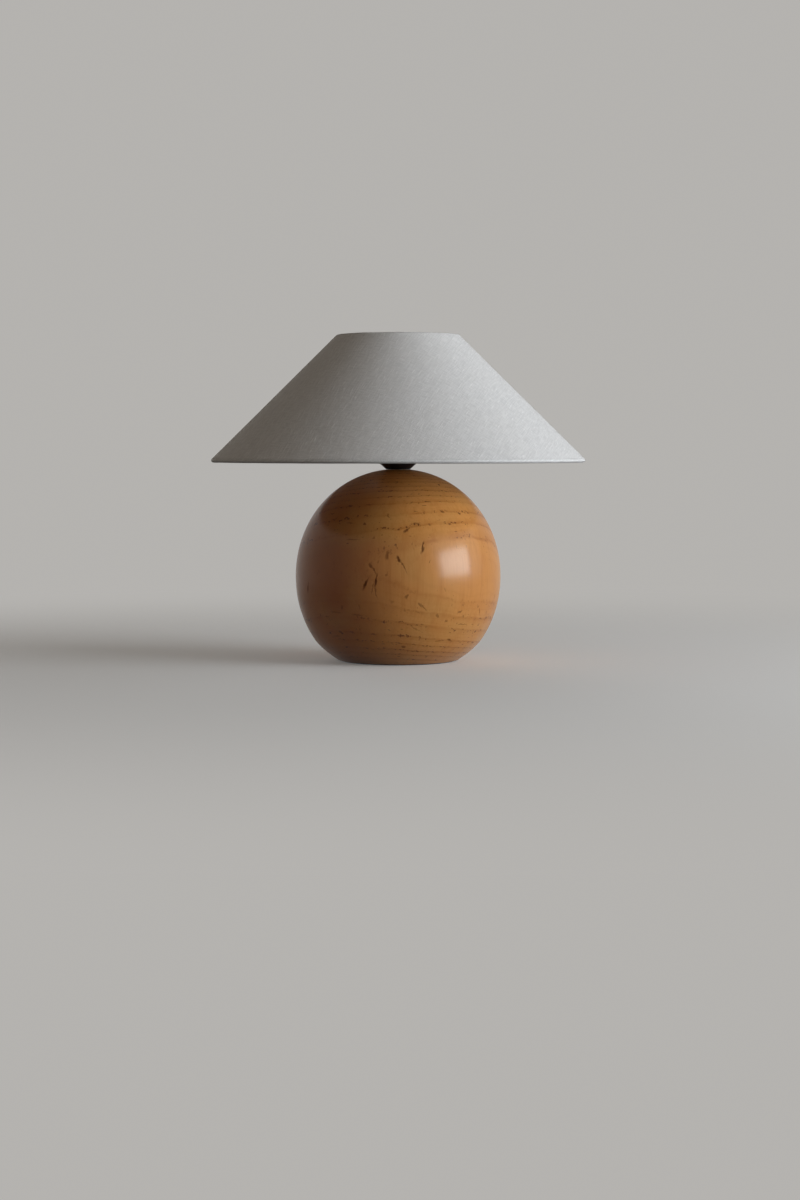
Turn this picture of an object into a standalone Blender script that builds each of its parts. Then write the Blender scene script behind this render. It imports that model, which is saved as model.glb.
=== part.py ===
"""A table lamp with a turned wooden ball for a base, a black lamp holder with a turn switch,
and a wide cone shade of linen that two threaded rings hold on the holder.

Lengths are in metres. The origin is on the surface that the lamp stands on, on the lamp's
axis. +Z is up and -Y is the front. Run it with: blender --background --python part.py
"""

import math

import bmesh
import bpy
from mathutils import Matrix, Vector

# Fits shared by every piece
GAP = 0.0003
OVERRUN = 0.002
ROUND_STEPS = 48
MIDDLE_STEPS = 36
SMALL_STEPS = 24
HOLE_STEPS = 12
MERGE_DISTANCE = 0.000001
SMOOTH_DEGREES = 32

# Wooden ball
BALL_RADIUS = 0.100
BALL_HALF_HEIGHT = 0.1045
BALL_CENTRE_HEIGHT = 0.0824
BALL_FULLNESS_SHARE = 1.02
BALL_TOP_FLAT_RADIUS = 0.0123
BALL_FOOT_RADIUS = 0.0585
FOOT_EDGE_ROUND = 0.0013
FOOT_ROUND_HEIGHT = 0.0212
FOOT_ROUND_SPREAD_SHARE = 1.6
BALL_CURVE_STEPS = 13
FOOT_CURVE_STEPS = 5
RECESS_RADIUS = 0.033
RECESS_DEPTH = 0.034

# Felt ring and bottom cover
FELT_THICKNESS = 0.002
FELT_PROUD = 0.0008
FELT_OUTER_RADIUS = 0.056
FELT_INNER_RADIUS = 0.042
COVER_RADIUS = 0.040
COVER_THICKNESS = 0.0015
COVER_SCREW_COUNT = 3
COVER_SCREW_CIRCLE = 0.0365
COVER_SCREW_RADIUS = 0.0015
COVER_SCREW_HEAD_RADIUS = 0.0029
COVER_SCREW_HEAD_HEIGHT = 0.0012
COVER_SCREW_LENGTH = 0.010
SCREW_SLOT_WIDTH = 0.0006
SCREW_SLOT_DEPTH = 0.0005

# Threaded tube with its washers and nut
TUBE_RADIUS = 0.005
TUBE_BORE_RADIUS = 0.004
TUBE_END_PROUD = 0.001
TUBE_WASHER_RADIUS = 0.013
TUBE_WASHER_THICKNESS = 0.0015
LOCK_WASHER_RADIUS = 0.009
LOCK_WASHER_THICKNESS = 0.001
LOCK_TEETH = 12
LOCK_TOOTH_SHARE = 0.86
NUT_ACROSS_FLATS = 0.014
NUT_HEIGHT = 0.006
HEX_SIDES = 6

# Cord gland at the back
GLAND_HEIGHT = 0.017
GLAND_FACE_INSET = 0.0305
GLAND_BORE_RADIUS = 0.0042
GLAND_BARREL_RADIUS = 0.0057
GLAND_BARREL_LENGTH = 0.014
GLAND_FLANGE_RADIUS = 0.007
GLAND_FLANGE_THICKNESS = 0.0022
GLAND_EDGE_ROUND = 0.0008

# Terminal block in the recess
BLOCK_WIDTH = 0.020
BLOCK_LENGTH = 0.0155
BLOCK_HEIGHT = 0.013
BLOCK_DISTANCE = 0.0225
BLOCK_EDGE = 0.0008
BARREL_SPACING = 0.010
BARREL_RADIUS = 0.0026
BARREL_BORE_RADIUS = 0.0016
BARREL_END_DEPTH = 0.001
CLAMP_SCREW_RADIUS = 0.0013
CLAMP_SCREW_SPACING = 0.008
CLAMP_SCREW_SINK = 0.001
BLOCK_SCREW_RADIUS = 0.0013
BLOCK_SCREW_HEAD_RADIUS = 0.0024
BLOCK_SCREW_HEAD_HEIGHT = 0.0014
BLOCK_SCREW_BITE = 0.009

# Holder cap
CAP_HEIGHT = 0.0295
CAP_RADIUS = 0.020
CAP_NECK_RADIUS = 0.0117
CAP_FLARE_HEIGHT = 0.0072
CAP_WALL = 0.002
CAP_FLOOR = 0.0040
CAP_BOSS_RADIUS = 0.0095
CAP_BOSS_HEIGHT = 0.0115
CAP_RIM_ROUND = 0.0006
GRUB_RADIUS = 0.002
GRUB_LENGTH = 0.004
GRUB_HEIGHT = 0.0082

# Switch in the cap
SWITCH_NEAR = 0.003
SWITCH_FAR = 0.0145
SWITCH_WIDTH = 0.014
SWITCH_HEIGHT = 0.0154
SWITCH_EDGE = 0.0007
ROTOR_RADIUS = 0.005
ROTOR_LENGTH = 0.0055
ROTOR_INSET = 0.0008
ROTOR_NOTCH_SHARE = 0.88
ROTOR_NOTCHES = 4
SPINDLE_RADIUS = 0.002
KNOB_RADIUS = 0.0065
KNOB_LENGTH = 0.012
KNOB_STAND_OFF = 0.0005
KNOB_BORE_DEPTH = 0.009
KNOB_EDGE = 0.0008
KNOB_LOBES = 12
KNOB_LOBE_SHARE = 0.92
LEAF_THICKNESS = 0.0004
LEAF_WIDTH = 0.005
LEAF_END_INSET = 0.001

# Threaded sleeve
SLEEVE_SPIGOT_RADIUS = 0.0177
SLEEVE_SPIGOT_DEPTH = 0.005
SLEEVE_COLLAR_HEIGHT = 0.0037
SLEEVE_CORE_RADIUS = 0.019
SLEEVE_INNER_RADIUS = 0.0165
SLEEVE_LIP_RADIUS = 0.0152
SLEEVE_LIP_HEIGHT = 0.0025
SLEEVE_HEIGHT = 0.0377
SLEEVE_RIM_ROUND = 0.0008
THREAD_CREST_RADIUS = 0.020
THREAD_STEPS = 20
THREAD_PITCH = 0.0035
THREAD_HALF_BASE = 0.0013
THREAD_ROOT_SINK = 0.0005
THREAD_LOW_MARGIN = 0.0022
THREAD_HIGH_MARGIN = 0.0048

# Contacts inside the sleeve
PORCELAIN_HEIGHT = 0.007
PORCELAIN_EDGE = 0.0006
TERMINAL_BACK = 0.008
TERMINAL_SIDE = 0.009
TERMINAL_SCREW_RADIUS = 0.0015
TERMINAL_SCREW_DEPTH = 0.005
TERMINAL_HEAD_RADIUS = 0.0028
TERMINAL_HEAD_HEIGHT = 0.0022
TONGUE_BACK = 0.005
TONGUE_REACH = 0.003
TONGUE_THICKNESS = 0.0005
TONGUE_WIDTH = 0.005
TONGUE_RISE = 0.0020
TONGUE_TAIL = 0.001
SHELL_WALL = 0.0004
SHELL_ROOT_RADIUS = 0.0136
SHELL_CREST_RADIUS = 0.0145
SHELL_FLANGE_RADIUS = 0.012
SHELL_WAVES = 3
SHELL_TOP_MARGIN = 0.004
SHELL_FOOT_HEIGHT = 0.004

# Bulb, a round opal one
BULB_LENGTH = 0.078
GLOBE_RADIUS = 0.0225
GLOBE_WALL = 0.0008
NECK_RADIUS = 0.0112
GLOBE_STEPS = 7
NECK_STEPS = 4
INNER_GLOBE_STEPS = 5
INNER_NECK_STEPS = 2
NECK_TANGENT_DEGREES = 55
BULB_CAP_CREST_RADIUS = 0.0132
BULB_CAP_ROOT_RADIUS = 0.0122
BULB_CAP_INNER_RADIUS = 0.0116
BULB_CAP_FOOT_RADIUS = 0.0109
BULB_CAP_WALL = 0.0003
BULB_CAP_LOW = 0.0049
BULB_CAP_HEIGHT = 0.0222
BULB_CAP_CONE_HEIGHT = 0.0028
BULB_CAP_WAVES = 5
BULB_CAP_COLLAR = 0.003
NECK_SINK = 0.0125
INSULATOR_TIP_RADIUS = 0.0055
TIP_RADIUS = 0.004
TIP_HEIGHT = 0.0015
TIP_ROUND = 0.0006
STEM_FLARE_HEIGHT = 0.002
STEM_FLARE_SINK = 0.001
STEM_RADIUS = 0.003
STEM_LENGTH = 0.024
STEM_ROUND = 0.001

# Rings that clamp the shade
RING_SEAT_HEIGHT = 0.0107
RING_HEIGHT = 0.006
RING_RADIUS = 0.028
RING_BORE_RADIUS = 0.0205
RING_EDGE = 0.0006
RING_SCALLOPS = 18
RING_SCALLOP_SHARE = 0.972
FITTER_WASHER_RADIUS = 0.0275
FITTER_WASHER_THICKNESS = 0.001
FITTER_RADIUS = 0.032
FITTER_BORE_RADIUS = 0.021
FITTER_THICKNESS = 0.0015

# Shade
SHADE_BOTTOM_RADIUS = 0.1801
SHADE_TOP_RADIUS = 0.059
SHADE_HEIGHT = 0.1204
SPOKE_COUNT = 3
SPOKE_FIRST_DEGREES = 90
SPOKE_RADIUS = 0.00125
SPOKE_DROP = 0.03775
SPOKE_START_DISTANCE = 0.0289
SPOKE_BEND_DISTANCE = 0.033
SPOKE_END_RUN = 0.0064
SPOKE_END_DROP = 0.0003
SPOKE_SIDES_RESOLUTION = 2
WIRE_RADIUS = 0.00125
WIRE_SIDES = 6
HEM_CLEARANCE = 0.0005
HEM_WALL = 0.00035
HEM_STEPS = 4
HEM_MOUTH_DEGREES = 50
LINEN_WALL = 0.00045
LINER_WALL = 0.00035
LINER_END_MARGIN = 0.0035

# Leads from the terminal block to the holder
LEAD_RADIUS = 0.0011
LEAD_SPACING = 0.0032
LEAD_ENTRY = 0.003
LEAD_LOOP_DROP = 0.0075
LEAD_RESOLUTION = 2
LEAD_SPAN_STEPS = 2
LEAD_TOP_SHARES = (0.3, 0.7, 0.85)

# Places that follow from the sizes above
WOOD_FOOT_HEIGHT = FELT_PROUD
BALL_POWER = 2 * BALL_FULLNESS_SHARE
BALL_TOP_HEIGHT = BALL_CENTRE_HEIGHT + BALL_HALF_HEIGHT * (
    1 - (BALL_TOP_FLAT_RADIUS / BALL_RADIUS) ** BALL_POWER
) ** (1 / BALL_POWER)
FELT_CEILING = FELT_THICKNESS + GAP
COVER_CEILING = FELT_CEILING + COVER_THICKNESS + GAP
WASHER_SEAT = RECESS_DEPTH - GAP - TUBE_WASHER_THICKNESS
LOCK_WASHER_SEAT = WASHER_SEAT - GAP - LOCK_WASHER_THICKNESS
NUT_SEAT = LOCK_WASHER_SEAT - GAP - NUT_HEIGHT
TUBE_BOTTOM = NUT_SEAT - TUBE_END_PROUD
CAP_SEAT = BALL_TOP_HEIGHT + GAP
CAP_TOP = CAP_SEAT + CAP_HEIGHT
BOSS_TOP = CAP_SEAT + CAP_BOSS_HEIGHT
SLEEVE_SHOULDER = CAP_TOP + GAP
SLEEVE_TOP = SLEEVE_SHOULDER + SLEEVE_HEIGHT
SWITCH_BOTTOM = BOSS_TOP + GAP
SWITCH_TOP = SWITCH_BOTTOM + SWITCH_HEIGHT
KNOB_AXIS_HEIGHT = SWITCH_BOTTOM + SWITCH_HEIGHT / 2
PORCELAIN_SEAT = SWITCH_TOP + GAP
PORCELAIN_TOP = PORCELAIN_SEAT + PORCELAIN_HEIGHT
BULB_SEAT = PORCELAIN_TOP + TONGUE_RISE + GAP
BULB_CAP_SEAT = BULB_SEAT + BULB_CAP_LOW
BULB_CAP_TOP = BULB_CAP_SEAT + BULB_CAP_HEIGHT
LOWER_RING_SEAT = SLEEVE_SHOULDER + RING_SEAT_HEIGHT
FITTER_WASHER_SEAT = LOWER_RING_SEAT + RING_HEIGHT + GAP
FITTER_SEAT = FITTER_WASHER_SEAT + FITTER_WASHER_THICKNESS + GAP
UPPER_RING_SEAT = FITTER_SEAT + FITTER_THICKNESS + GAP
SPOKE_HEIGHT = FITTER_SEAT - GAP - SPOKE_RADIUS
SHADE_FOOT_HEIGHT = SPOKE_HEIGHT - SPOKE_DROP
GLAND_FACE = BALL_RADIUS - GLAND_FACE_INSET
BLOCK_TOP = RECESS_DEPTH - GAP
BLOCK_BOTTOM = BLOCK_TOP - BLOCK_HEIGHT
BLOCK_MIDDLE = BLOCK_TOP - BLOCK_HEIGHT / 2

# The shade's slope, as length and as directions of (radius, height)
SLOPE_LENGTH = math.hypot(SHADE_BOTTOM_RADIUS - SHADE_TOP_RADIUS, SHADE_HEIGHT)
SLOPE_IN = (SHADE_BOTTOM_RADIUS - SHADE_TOP_RADIUS) / SLOPE_LENGTH
SLOPE_UP = SHADE_HEIGHT / SLOPE_LENGTH
HEM_INNER_RADIUS = WIRE_RADIUS + HEM_CLEARANCE
HEM_RADIUS = HEM_INNER_RADIUS + HEM_WALL
LINEN_STAND_OFF = HEM_RADIUS - LINEN_WALL
LINEN_END_MARGIN = math.sqrt((HEM_RADIUS + GAP) ** 2 - LINEN_STAND_OFF ** 2)

# Colour, roughness and metallic value of each finish
FINISHES = {
    "lacquered_pine": ((0.50, 0.25, 0.10), 0.35, 0.0),
    "green_felt": ((0.05, 0.07, 0.05), 0.95, 0.0),
    "hardboard": ((0.16, 0.10, 0.06), 0.80, 0.0),
    "zinc_plate": ((0.62, 0.62, 0.60), 0.35, 1.0),
    "brass": ((0.78, 0.57, 0.26), 0.30, 1.0),
    "nickel_brass": ((0.70, 0.68, 0.62), 0.28, 1.0),
    "black_bakelite": ((0.012, 0.012, 0.013), 0.32, 0.0),
    "grey_polyamide": ((0.55, 0.55, 0.53), 0.50, 0.0),
    "porcelain": ((0.82, 0.81, 0.78), 0.25, 0.0),
    "opal_glass": ((0.90, 0.90, 0.88), 0.20, 0.0),
    "black_glass": ((0.02, 0.02, 0.02), 0.15, 0.0),
    "white_enamel": ((0.80, 0.80, 0.78), 0.40, 0.0),
    "linen": ((0.66, 0.66, 0.63), 0.90, 0.0),
    "white_film": ((0.80, 0.80, 0.78), 0.60, 0.0),
    "brown_pvc": ((0.18, 0.07, 0.03), 0.45, 0.0),
    "blue_pvc": ((0.04, 0.12, 0.45), 0.45, 0.0),
}

TO_BACK = (-math.pi / 2, 0, 0)
TO_RIGHT = (0, math.pi / 2, 0)
FULL_TURN = 2 * math.pi


def clear_scene():
    for obj in list(bpy.data.objects):
        bpy.data.objects.remove(obj, do_unlink=True)


def paint(obj, finish):
    """Gives the object a material of its own in the named finish."""
    colour, roughness, metallic = FINISHES[finish]
    material = bpy.data.materials.new(obj.name)
    material.use_nodes = True
    shader = material.node_tree.nodes["Principled BSDF"]
    shader.inputs["Base Color"].default_value = (*colour, 1)
    shader.inputs["Roughness"].default_value = roughness
    shader.inputs["Metallic"].default_value = metallic
    obj.data.materials.append(material)


def add_piece(name, shape, finish, seat=(0, 0, 0), turn=(0, 0, 0)):
    """Makes an object of a bmesh, with its own origin at seat."""
    bmesh.ops.recalc_face_normals(shape, faces=shape.faces)
    mesh = bpy.data.meshes.new(name)
    shape.to_mesh(mesh)
    shape.free()
    mesh.shade_smooth()
    mesh.set_sharp_from_angle(angle=math.radians(SMOOTH_DEGREES))
    piece = bpy.data.objects.new(name, mesh)
    bpy.context.scene.collection.objects.link(piece)
    piece.location = seat
    piece.rotation_euler = turn
    if finish:
        paint(piece, finish)
    return piece


def turned(name, profile, finish, seat=(0, 0, 0), turn=(0, 0, 0), steps=ROUND_STEPS, rim=None):
    """Spins a closed outline of (radius, height) points round the local Z axis.

    rim is (radius, function): past that radius, a point's distance from the axis is
    multiplied by what the function gives for its angle.
    """
    shape = bmesh.new()
    points = [shape.verts.new((radius, 0, height)) for radius, height in profile]
    pairs = [(points[i - 1], points[i]) for i in range(len(points))]
    edges = [shape.edges.new(pair) for pair in pairs if pair[0].co.x or pair[1].co.x]
    bmesh.ops.spin(
        shape, geom=points + edges, cent=(0, 0, 0), axis=(0, 0, 1),
        angle=FULL_TURN, steps=steps, use_merge=True,
    )
    bmesh.ops.remove_doubles(shape, verts=shape.verts, dist=MERGE_DISTANCE)
    if rim:
        limit, factor = rim
        for point in shape.verts:
            if math.hypot(point.co.x, point.co.y) > limit:
                share = factor(math.atan2(point.co.y, point.co.x))
                point.co.x *= share
                point.co.y *= share
    return add_piece(name, shape, finish, seat, turn)


def alternating(count, low_share):
    """A rim that goes in and out count times round, for teeth, notches or lobes."""
    def factor(angle):
        return 1 if math.cos(count * angle) > 0 else low_share
    return factor


def hexagon(angle):
    """The share that turns a circle through the corners into a hexagon."""
    side = FULL_TURN / HEX_SIDES
    return math.cos(side / 2) / math.cos(angle % side - side / 2)


def cylinder_profile(radius, height, bore=0):
    return [(bore, 0), (radius, 0), (radius, height), (bore, height)]


def box(name, size, centre, finish, edge=0):
    shape = bmesh.new()
    bmesh.ops.create_cube(shape, size=1, matrix=Matrix.Diagonal((*size, 1)))
    piece = add_piece(name, shape, finish, centre)
    if edge:
        bevel = piece.modifiers.new("edges", "BEVEL")
        bevel.width = edge
        bevel.segments = 1
    return piece


def strip(name, outline, width, finish):
    """A strip of sheet metal: an outline of (x, z) points, given a width along Y."""
    shape = bmesh.new()
    points = [shape.verts.new((x, -width / 2, z)) for x, z in outline]
    face = shape.faces.new(points)
    grown = bmesh.ops.extrude_face_region(shape, geom=[face])["geom"]
    moved = [item for item in grown if isinstance(item, bmesh.types.BMVert)]
    bmesh.ops.translate(shape, verts=moved, vec=(0, width, 0))
    return add_piece(name, shape, finish)


def combine(piece, tool, operation):
    """Cuts the tool from the piece, or joins it to it."""
    tool.hide_render = True
    tool.display_type = "WIRE"
    modifier = piece.modifiers.new(tool.name, "BOOLEAN")
    modifier.operation = operation
    modifier.solver = "EXACT"
    modifier.object = tool


def cut(piece, profile, seat, turn=(0, 0, 0), steps=HOLE_STEPS):
    """Cuts a turned shape from the piece."""
    tool = turned(piece.name + "_cut", profile, None, seat, turn, steps)
    combine(piece, tool, "DIFFERENCE")


def cut_box(piece, size, centre):
    tool = box(piece.name + "_slot", size, centre, None)
    combine(piece, tool, "DIFFERENCE")


def around(count, first=0):
    """The angles of count places spread evenly round the axis."""
    return [first + FULL_TURN * i / count for i in range(count)]


def on_circle(radius, angle, height):
    return (radius * math.cos(angle), radius * math.sin(angle), height)


def curve_points(first, control, last, steps):
    """The points after the first of a curve that bends once, towards the control point."""
    points = []
    for i in range(1, steps + 1):
        t = i / steps
        weights = ((1 - t) ** 2, 2 * t * (1 - t), t * t)
        points.append(tuple(
            weights[0] * a + weights[1] * b + weights[2] * c
            for a, b, c in zip(first, control, last)
        ))
    return points


def round_wire(name, points, radius, finish, resolution):
    """A round wire along the points, with flat ends."""
    curve = bpy.data.curves.new(name, "CURVE")
    curve.dimensions = "3D"
    curve.bevel_depth = radius
    curve.bevel_resolution = resolution
    curve.use_fill_caps = True
    line = curve.splines.new("POLY")
    line.points.add(len(points) - 1)
    for place, point in zip(line.points, points):
        place.co = (*point, 1)
    wire = bpy.data.objects.new(name, curve)
    bpy.context.scene.collection.objects.link(wire)
    paint(wire, finish)
    return wire


def smooth_route(places, per_span):
    """Points on one smooth curve through the places, Catmull-Rom fashion."""
    ends = [2 * places[0] - places[1], *places, 2 * places[-1] - places[-2]]
    route = []
    for i in range(1, len(ends) - 2):
        before, here, there, after = ends[i - 1:i + 3]
        for step in range(per_span):
            t = step / per_span
            route.append(0.5 * (
                2 * here
                + (there - before) * t
                + (2 * before - 5 * here + 4 * there - after) * t ** 2
                + (3 * here - before - 3 * there + after) * t ** 3
            ))
    return route + [places[-1]]


def joint_axis(name, place, carrier=None):
    """An empty on a joint's axis, which the moving pieces are parented to."""
    empty = bpy.data.objects.new(name, None)
    bpy.context.scene.collection.objects.link(empty)
    empty.location = place
    if carrier:
        hang(carrier, [empty])
    return empty


def hang(carrier, pieces):
    """Parents the pieces to the carrier, and leaves them where they are."""
    bpy.context.view_layer.update()
    for piece in pieces:
        piece.parent = carrier
        piece.matrix_parent_inverse = carrier.matrix_world.inverted()


def ball_outline():
    """The outside of the ball from the foot up: a rounded foot, then a full, tall ellipse."""
    top = (BALL_TOP_HEIGHT - BALL_CENTRE_HEIGHT) / BALL_HALF_HEIGHT
    depth = (BALL_CENTRE_HEIGHT - WOOD_FOOT_HEIGHT - FOOT_ROUND_HEIGHT) / BALL_HALF_HEIGHT
    high = math.asin(top ** BALL_FULLNESS_SHARE)
    low = -math.asin(depth ** BALL_FULLNESS_SHARE)
    ellipse = []
    for i in range(BALL_CURVE_STEPS + 1):
        angle = low + (high - low) * i / BALL_CURVE_STEPS
        rise = abs(math.sin(angle)) ** (1 / BALL_FULLNESS_SHARE)
        height = BALL_CENTRE_HEIGHT + math.copysign(BALL_HALF_HEIGHT * rise, angle)
        ellipse.append((BALL_RADIUS * math.cos(angle) ** (1 / BALL_FULLNESS_SHARE), height))
    blend = ellipse[0]
    lean = BALL_RADIUS / BALL_HALF_HEIGHT * (depth * BALL_RADIUS / blend[0]) ** (BALL_POWER - 1)
    foot = (BALL_FOOT_RADIUS, WOOD_FOOT_HEIGHT)
    spread = foot[0] - blend[0] + FOOT_ROUND_SPREAD_SHARE * (blend[1] - foot[1])
    drop = spread / (FOOT_ROUND_SPREAD_SHARE - lean)
    control = (blend[0] - lean * drop, blend[1] - drop)
    rounded = curve_points(foot, control, blend, FOOT_CURVE_STEPS)
    rise = FOOT_EDGE_ROUND / math.hypot(FOOT_ROUND_SPREAD_SHARE, 1)
    edge = [
        (foot[0] - FOOT_EDGE_ROUND, foot[1]),
        (foot[0] + FOOT_ROUND_SPREAD_SHARE * rise, foot[1] + rise),
    ]
    return [*edge, *rounded[:-1], *ellipse]


def make_ball():
    bore = TUBE_RADIUS + GAP
    inside = [
        (bore, BALL_TOP_HEIGHT),
        (bore, RECESS_DEPTH),
        (RECESS_RADIUS, RECESS_DEPTH),
        (RECESS_RADIUS, COVER_CEILING),
        (COVER_RADIUS + GAP, COVER_CEILING),
        (COVER_RADIUS + GAP, FELT_CEILING),
        (FELT_OUTER_RADIUS + GAP, FELT_CEILING),
        (FELT_OUTER_RADIUS + GAP, WOOD_FOOT_HEIGHT),
    ]
    ball = turned("ball_base", ball_outline() + inside, "lacquered_pine")
    channel_start = (0, RECESS_RADIUS - OVERRUN, GLAND_HEIGHT)
    channel = cylinder_profile(GLAND_BARREL_RADIUS + GAP, BALL_RADIUS)
    cut(ball, channel, channel_start, TO_BACK, SMALL_STEPS)
    spot_face = cylinder_profile(GLAND_FLANGE_RADIUS + GAP, BALL_RADIUS)
    cut(ball, spot_face, (0, GLAND_FACE, GLAND_HEIGHT), TO_BACK, SMALL_STEPS)
    pilot = cylinder_profile(COVER_SCREW_RADIUS + GAP, COVER_SCREW_LENGTH + GAP)
    for angle in around(COVER_SCREW_COUNT):
        cut(ball, pilot, on_circle(COVER_SCREW_CIRCLE, angle, FELT_CEILING))
    bite = cylinder_profile(BLOCK_SCREW_RADIUS + GAP, BLOCK_SCREW_BITE + 2 * GAP + OVERRUN)
    cut(ball, bite, (0, -BLOCK_DISTANCE, BLOCK_TOP - OVERRUN))


def slotted(screw, radius, seat):
    """Cuts a driver slot across the lower face of a screw that stands on seat."""
    size = (2 * (radius + OVERRUN), SCREW_SLOT_WIDTH, 2 * SCREW_SLOT_DEPTH)
    cut_box(screw, size, seat)


def make_bottom():
    felt = cylinder_profile(FELT_OUTER_RADIUS, FELT_THICKNESS, FELT_INNER_RADIUS)
    turned("felt_ring", felt, "green_felt", steps=MIDDLE_STEPS)
    cover = turned(
        "bottom_cover", cylinder_profile(COVER_RADIUS, COVER_THICKNESS), "hardboard",
        (0, 0, FELT_CEILING), steps=MIDDLE_STEPS,
    )
    screw_profile = [
        (0, 0),
        (COVER_SCREW_HEAD_RADIUS, 0),
        (COVER_SCREW_RADIUS, COVER_SCREW_HEAD_HEIGHT),
        (COVER_SCREW_RADIUS, COVER_SCREW_LENGTH - COVER_SCREW_RADIUS),
        (0, COVER_SCREW_LENGTH),
    ]
    sink_profile = [
        (0, -OVERRUN),
        (COVER_SCREW_HEAD_RADIUS + GAP, -OVERRUN),
        (COVER_SCREW_HEAD_RADIUS + GAP, 0),
        (COVER_SCREW_RADIUS + GAP, COVER_SCREW_HEAD_HEIGHT),
        (COVER_SCREW_RADIUS + GAP, COVER_THICKNESS + OVERRUN),
        (0, COVER_THICKNESS + OVERRUN),
    ]
    for number, angle in enumerate(around(COVER_SCREW_COUNT), 1):
        seat = on_circle(COVER_SCREW_CIRCLE, angle, FELT_CEILING)
        cut(cover, sink_profile, seat)
        screw = turned(
            f"cover_screw_{number}", screw_profile, "brass", seat, steps=HOLE_STEPS
        )
        slotted(screw, COVER_SCREW_HEAD_RADIUS, seat)


def make_tube():
    turned(
        "lamp_tube", cylinder_profile(TUBE_RADIUS, BOSS_TOP - TUBE_BOTTOM, TUBE_BORE_RADIUS),
        "zinc_plate", (0, 0, TUBE_BOTTOM), steps=SMALL_STEPS,
    )
    bore = TUBE_RADIUS + GAP
    turned(
        "tube_washer", cylinder_profile(TUBE_WASHER_RADIUS, TUBE_WASHER_THICKNESS, bore),
        "zinc_plate", (0, 0, WASHER_SEAT), steps=SMALL_STEPS,
    )
    turned(
        "lock_washer", cylinder_profile(LOCK_WASHER_RADIUS, LOCK_WASHER_THICKNESS, bore),
        "zinc_plate", (0, 0, LOCK_WASHER_SEAT), steps=SMALL_STEPS,
        rim=(TUBE_RADIUS + 2 * GAP, alternating(LOCK_TEETH, LOCK_TOOTH_SHARE)),
    )
    corner = NUT_ACROSS_FLATS / 2 / math.cos(FULL_TURN / HEX_SIDES / 2)
    turned(
        "hex_nut", cylinder_profile(corner, NUT_HEIGHT, bore), "zinc_plate", (0, 0, NUT_SEAT),
        steps=SMALL_STEPS, rim=(TUBE_RADIUS + 2 * GAP, hexagon),
    )


def make_gland():
    edge = GLAND_EDGE_ROUND
    profile = [
        (GLAND_BORE_RADIUS, -GLAND_BARREL_LENGTH),
        (GLAND_BARREL_RADIUS, -GLAND_BARREL_LENGTH),
        (GLAND_BARREL_RADIUS, 0),
        (GLAND_FLANGE_RADIUS, 0),
        (GLAND_FLANGE_RADIUS, GLAND_FLANGE_THICKNESS - edge),
        (GLAND_FLANGE_RADIUS - edge, GLAND_FLANGE_THICKNESS),
        (GLAND_BORE_RADIUS + edge, GLAND_FLANGE_THICKNESS),
        (GLAND_BORE_RADIUS, GLAND_FLANGE_THICKNESS - edge),
    ]
    seat = (0, GLAND_FACE + GAP, GLAND_HEIGHT)
    turned("cord_gland", profile, "black_bakelite", seat, TO_BACK, SMALL_STEPS)


def make_terminal_block():
    """A two-pole block screwed to the recess ceiling, with a clamped barrel for each pole."""
    centre = (0, -BLOCK_DISTANCE, BLOCK_MIDDLE)
    body = box(
        "terminal_block", (BLOCK_WIDTH, BLOCK_LENGTH, BLOCK_HEIGHT), centre,
        "grey_polyamide", BLOCK_EDGE,
    )
    barrel_length = BLOCK_LENGTH - 2 * BARREL_END_DEPTH
    barrel_start = -BLOCK_DISTANCE - barrel_length / 2
    screw_bottom = BLOCK_BOTTOM + CLAMP_SCREW_SINK
    screw_length = BLOCK_MIDDLE - LEAD_RADIUS - GAP - screw_bottom
    shaft = CLAMP_SCREW_RADIUS + GAP
    number = 0
    for side in (-1, 1):
        x = side * BARREL_SPACING / 2
        hole = cylinder_profile(BARREL_RADIUS + GAP, BLOCK_LENGTH + 2 * OVERRUN)
        hole_start = (x, -BLOCK_DISTANCE - BLOCK_LENGTH / 2 - OVERRUN, BLOCK_MIDDLE)
        cut(body, hole, hole_start, TO_BACK)
        barrel = turned(
            "terminal_barrel_" + ("left" if side < 0 else "right"),
            cylinder_profile(BARREL_RADIUS, barrel_length, BARREL_BORE_RADIUS), "brass",
            (x, barrel_start, BLOCK_MIDDLE), TO_BACK, HOLE_STEPS,
        )
        for end in (-1, 1):
            number += 1
            y = -BLOCK_DISTANCE + end * CLAMP_SCREW_SPACING / 2
            tower = cylinder_profile(shaft, BLOCK_MIDDLE - BLOCK_BOTTOM + OVERRUN)
            cut(body, tower, (x, y, BLOCK_BOTTOM - OVERRUN))
            cut(barrel, tower, (x, y, BLOCK_BOTTOM - OVERRUN))
            screw = turned(
                f"clamp_screw_{number}", cylinder_profile(CLAMP_SCREW_RADIUS, screw_length),
                "zinc_plate", (x, y, screw_bottom), steps=HOLE_STEPS,
            )
            slotted(screw, CLAMP_SCREW_RADIUS, (x, y, screw_bottom))
    make_block_screw(body)


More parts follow.
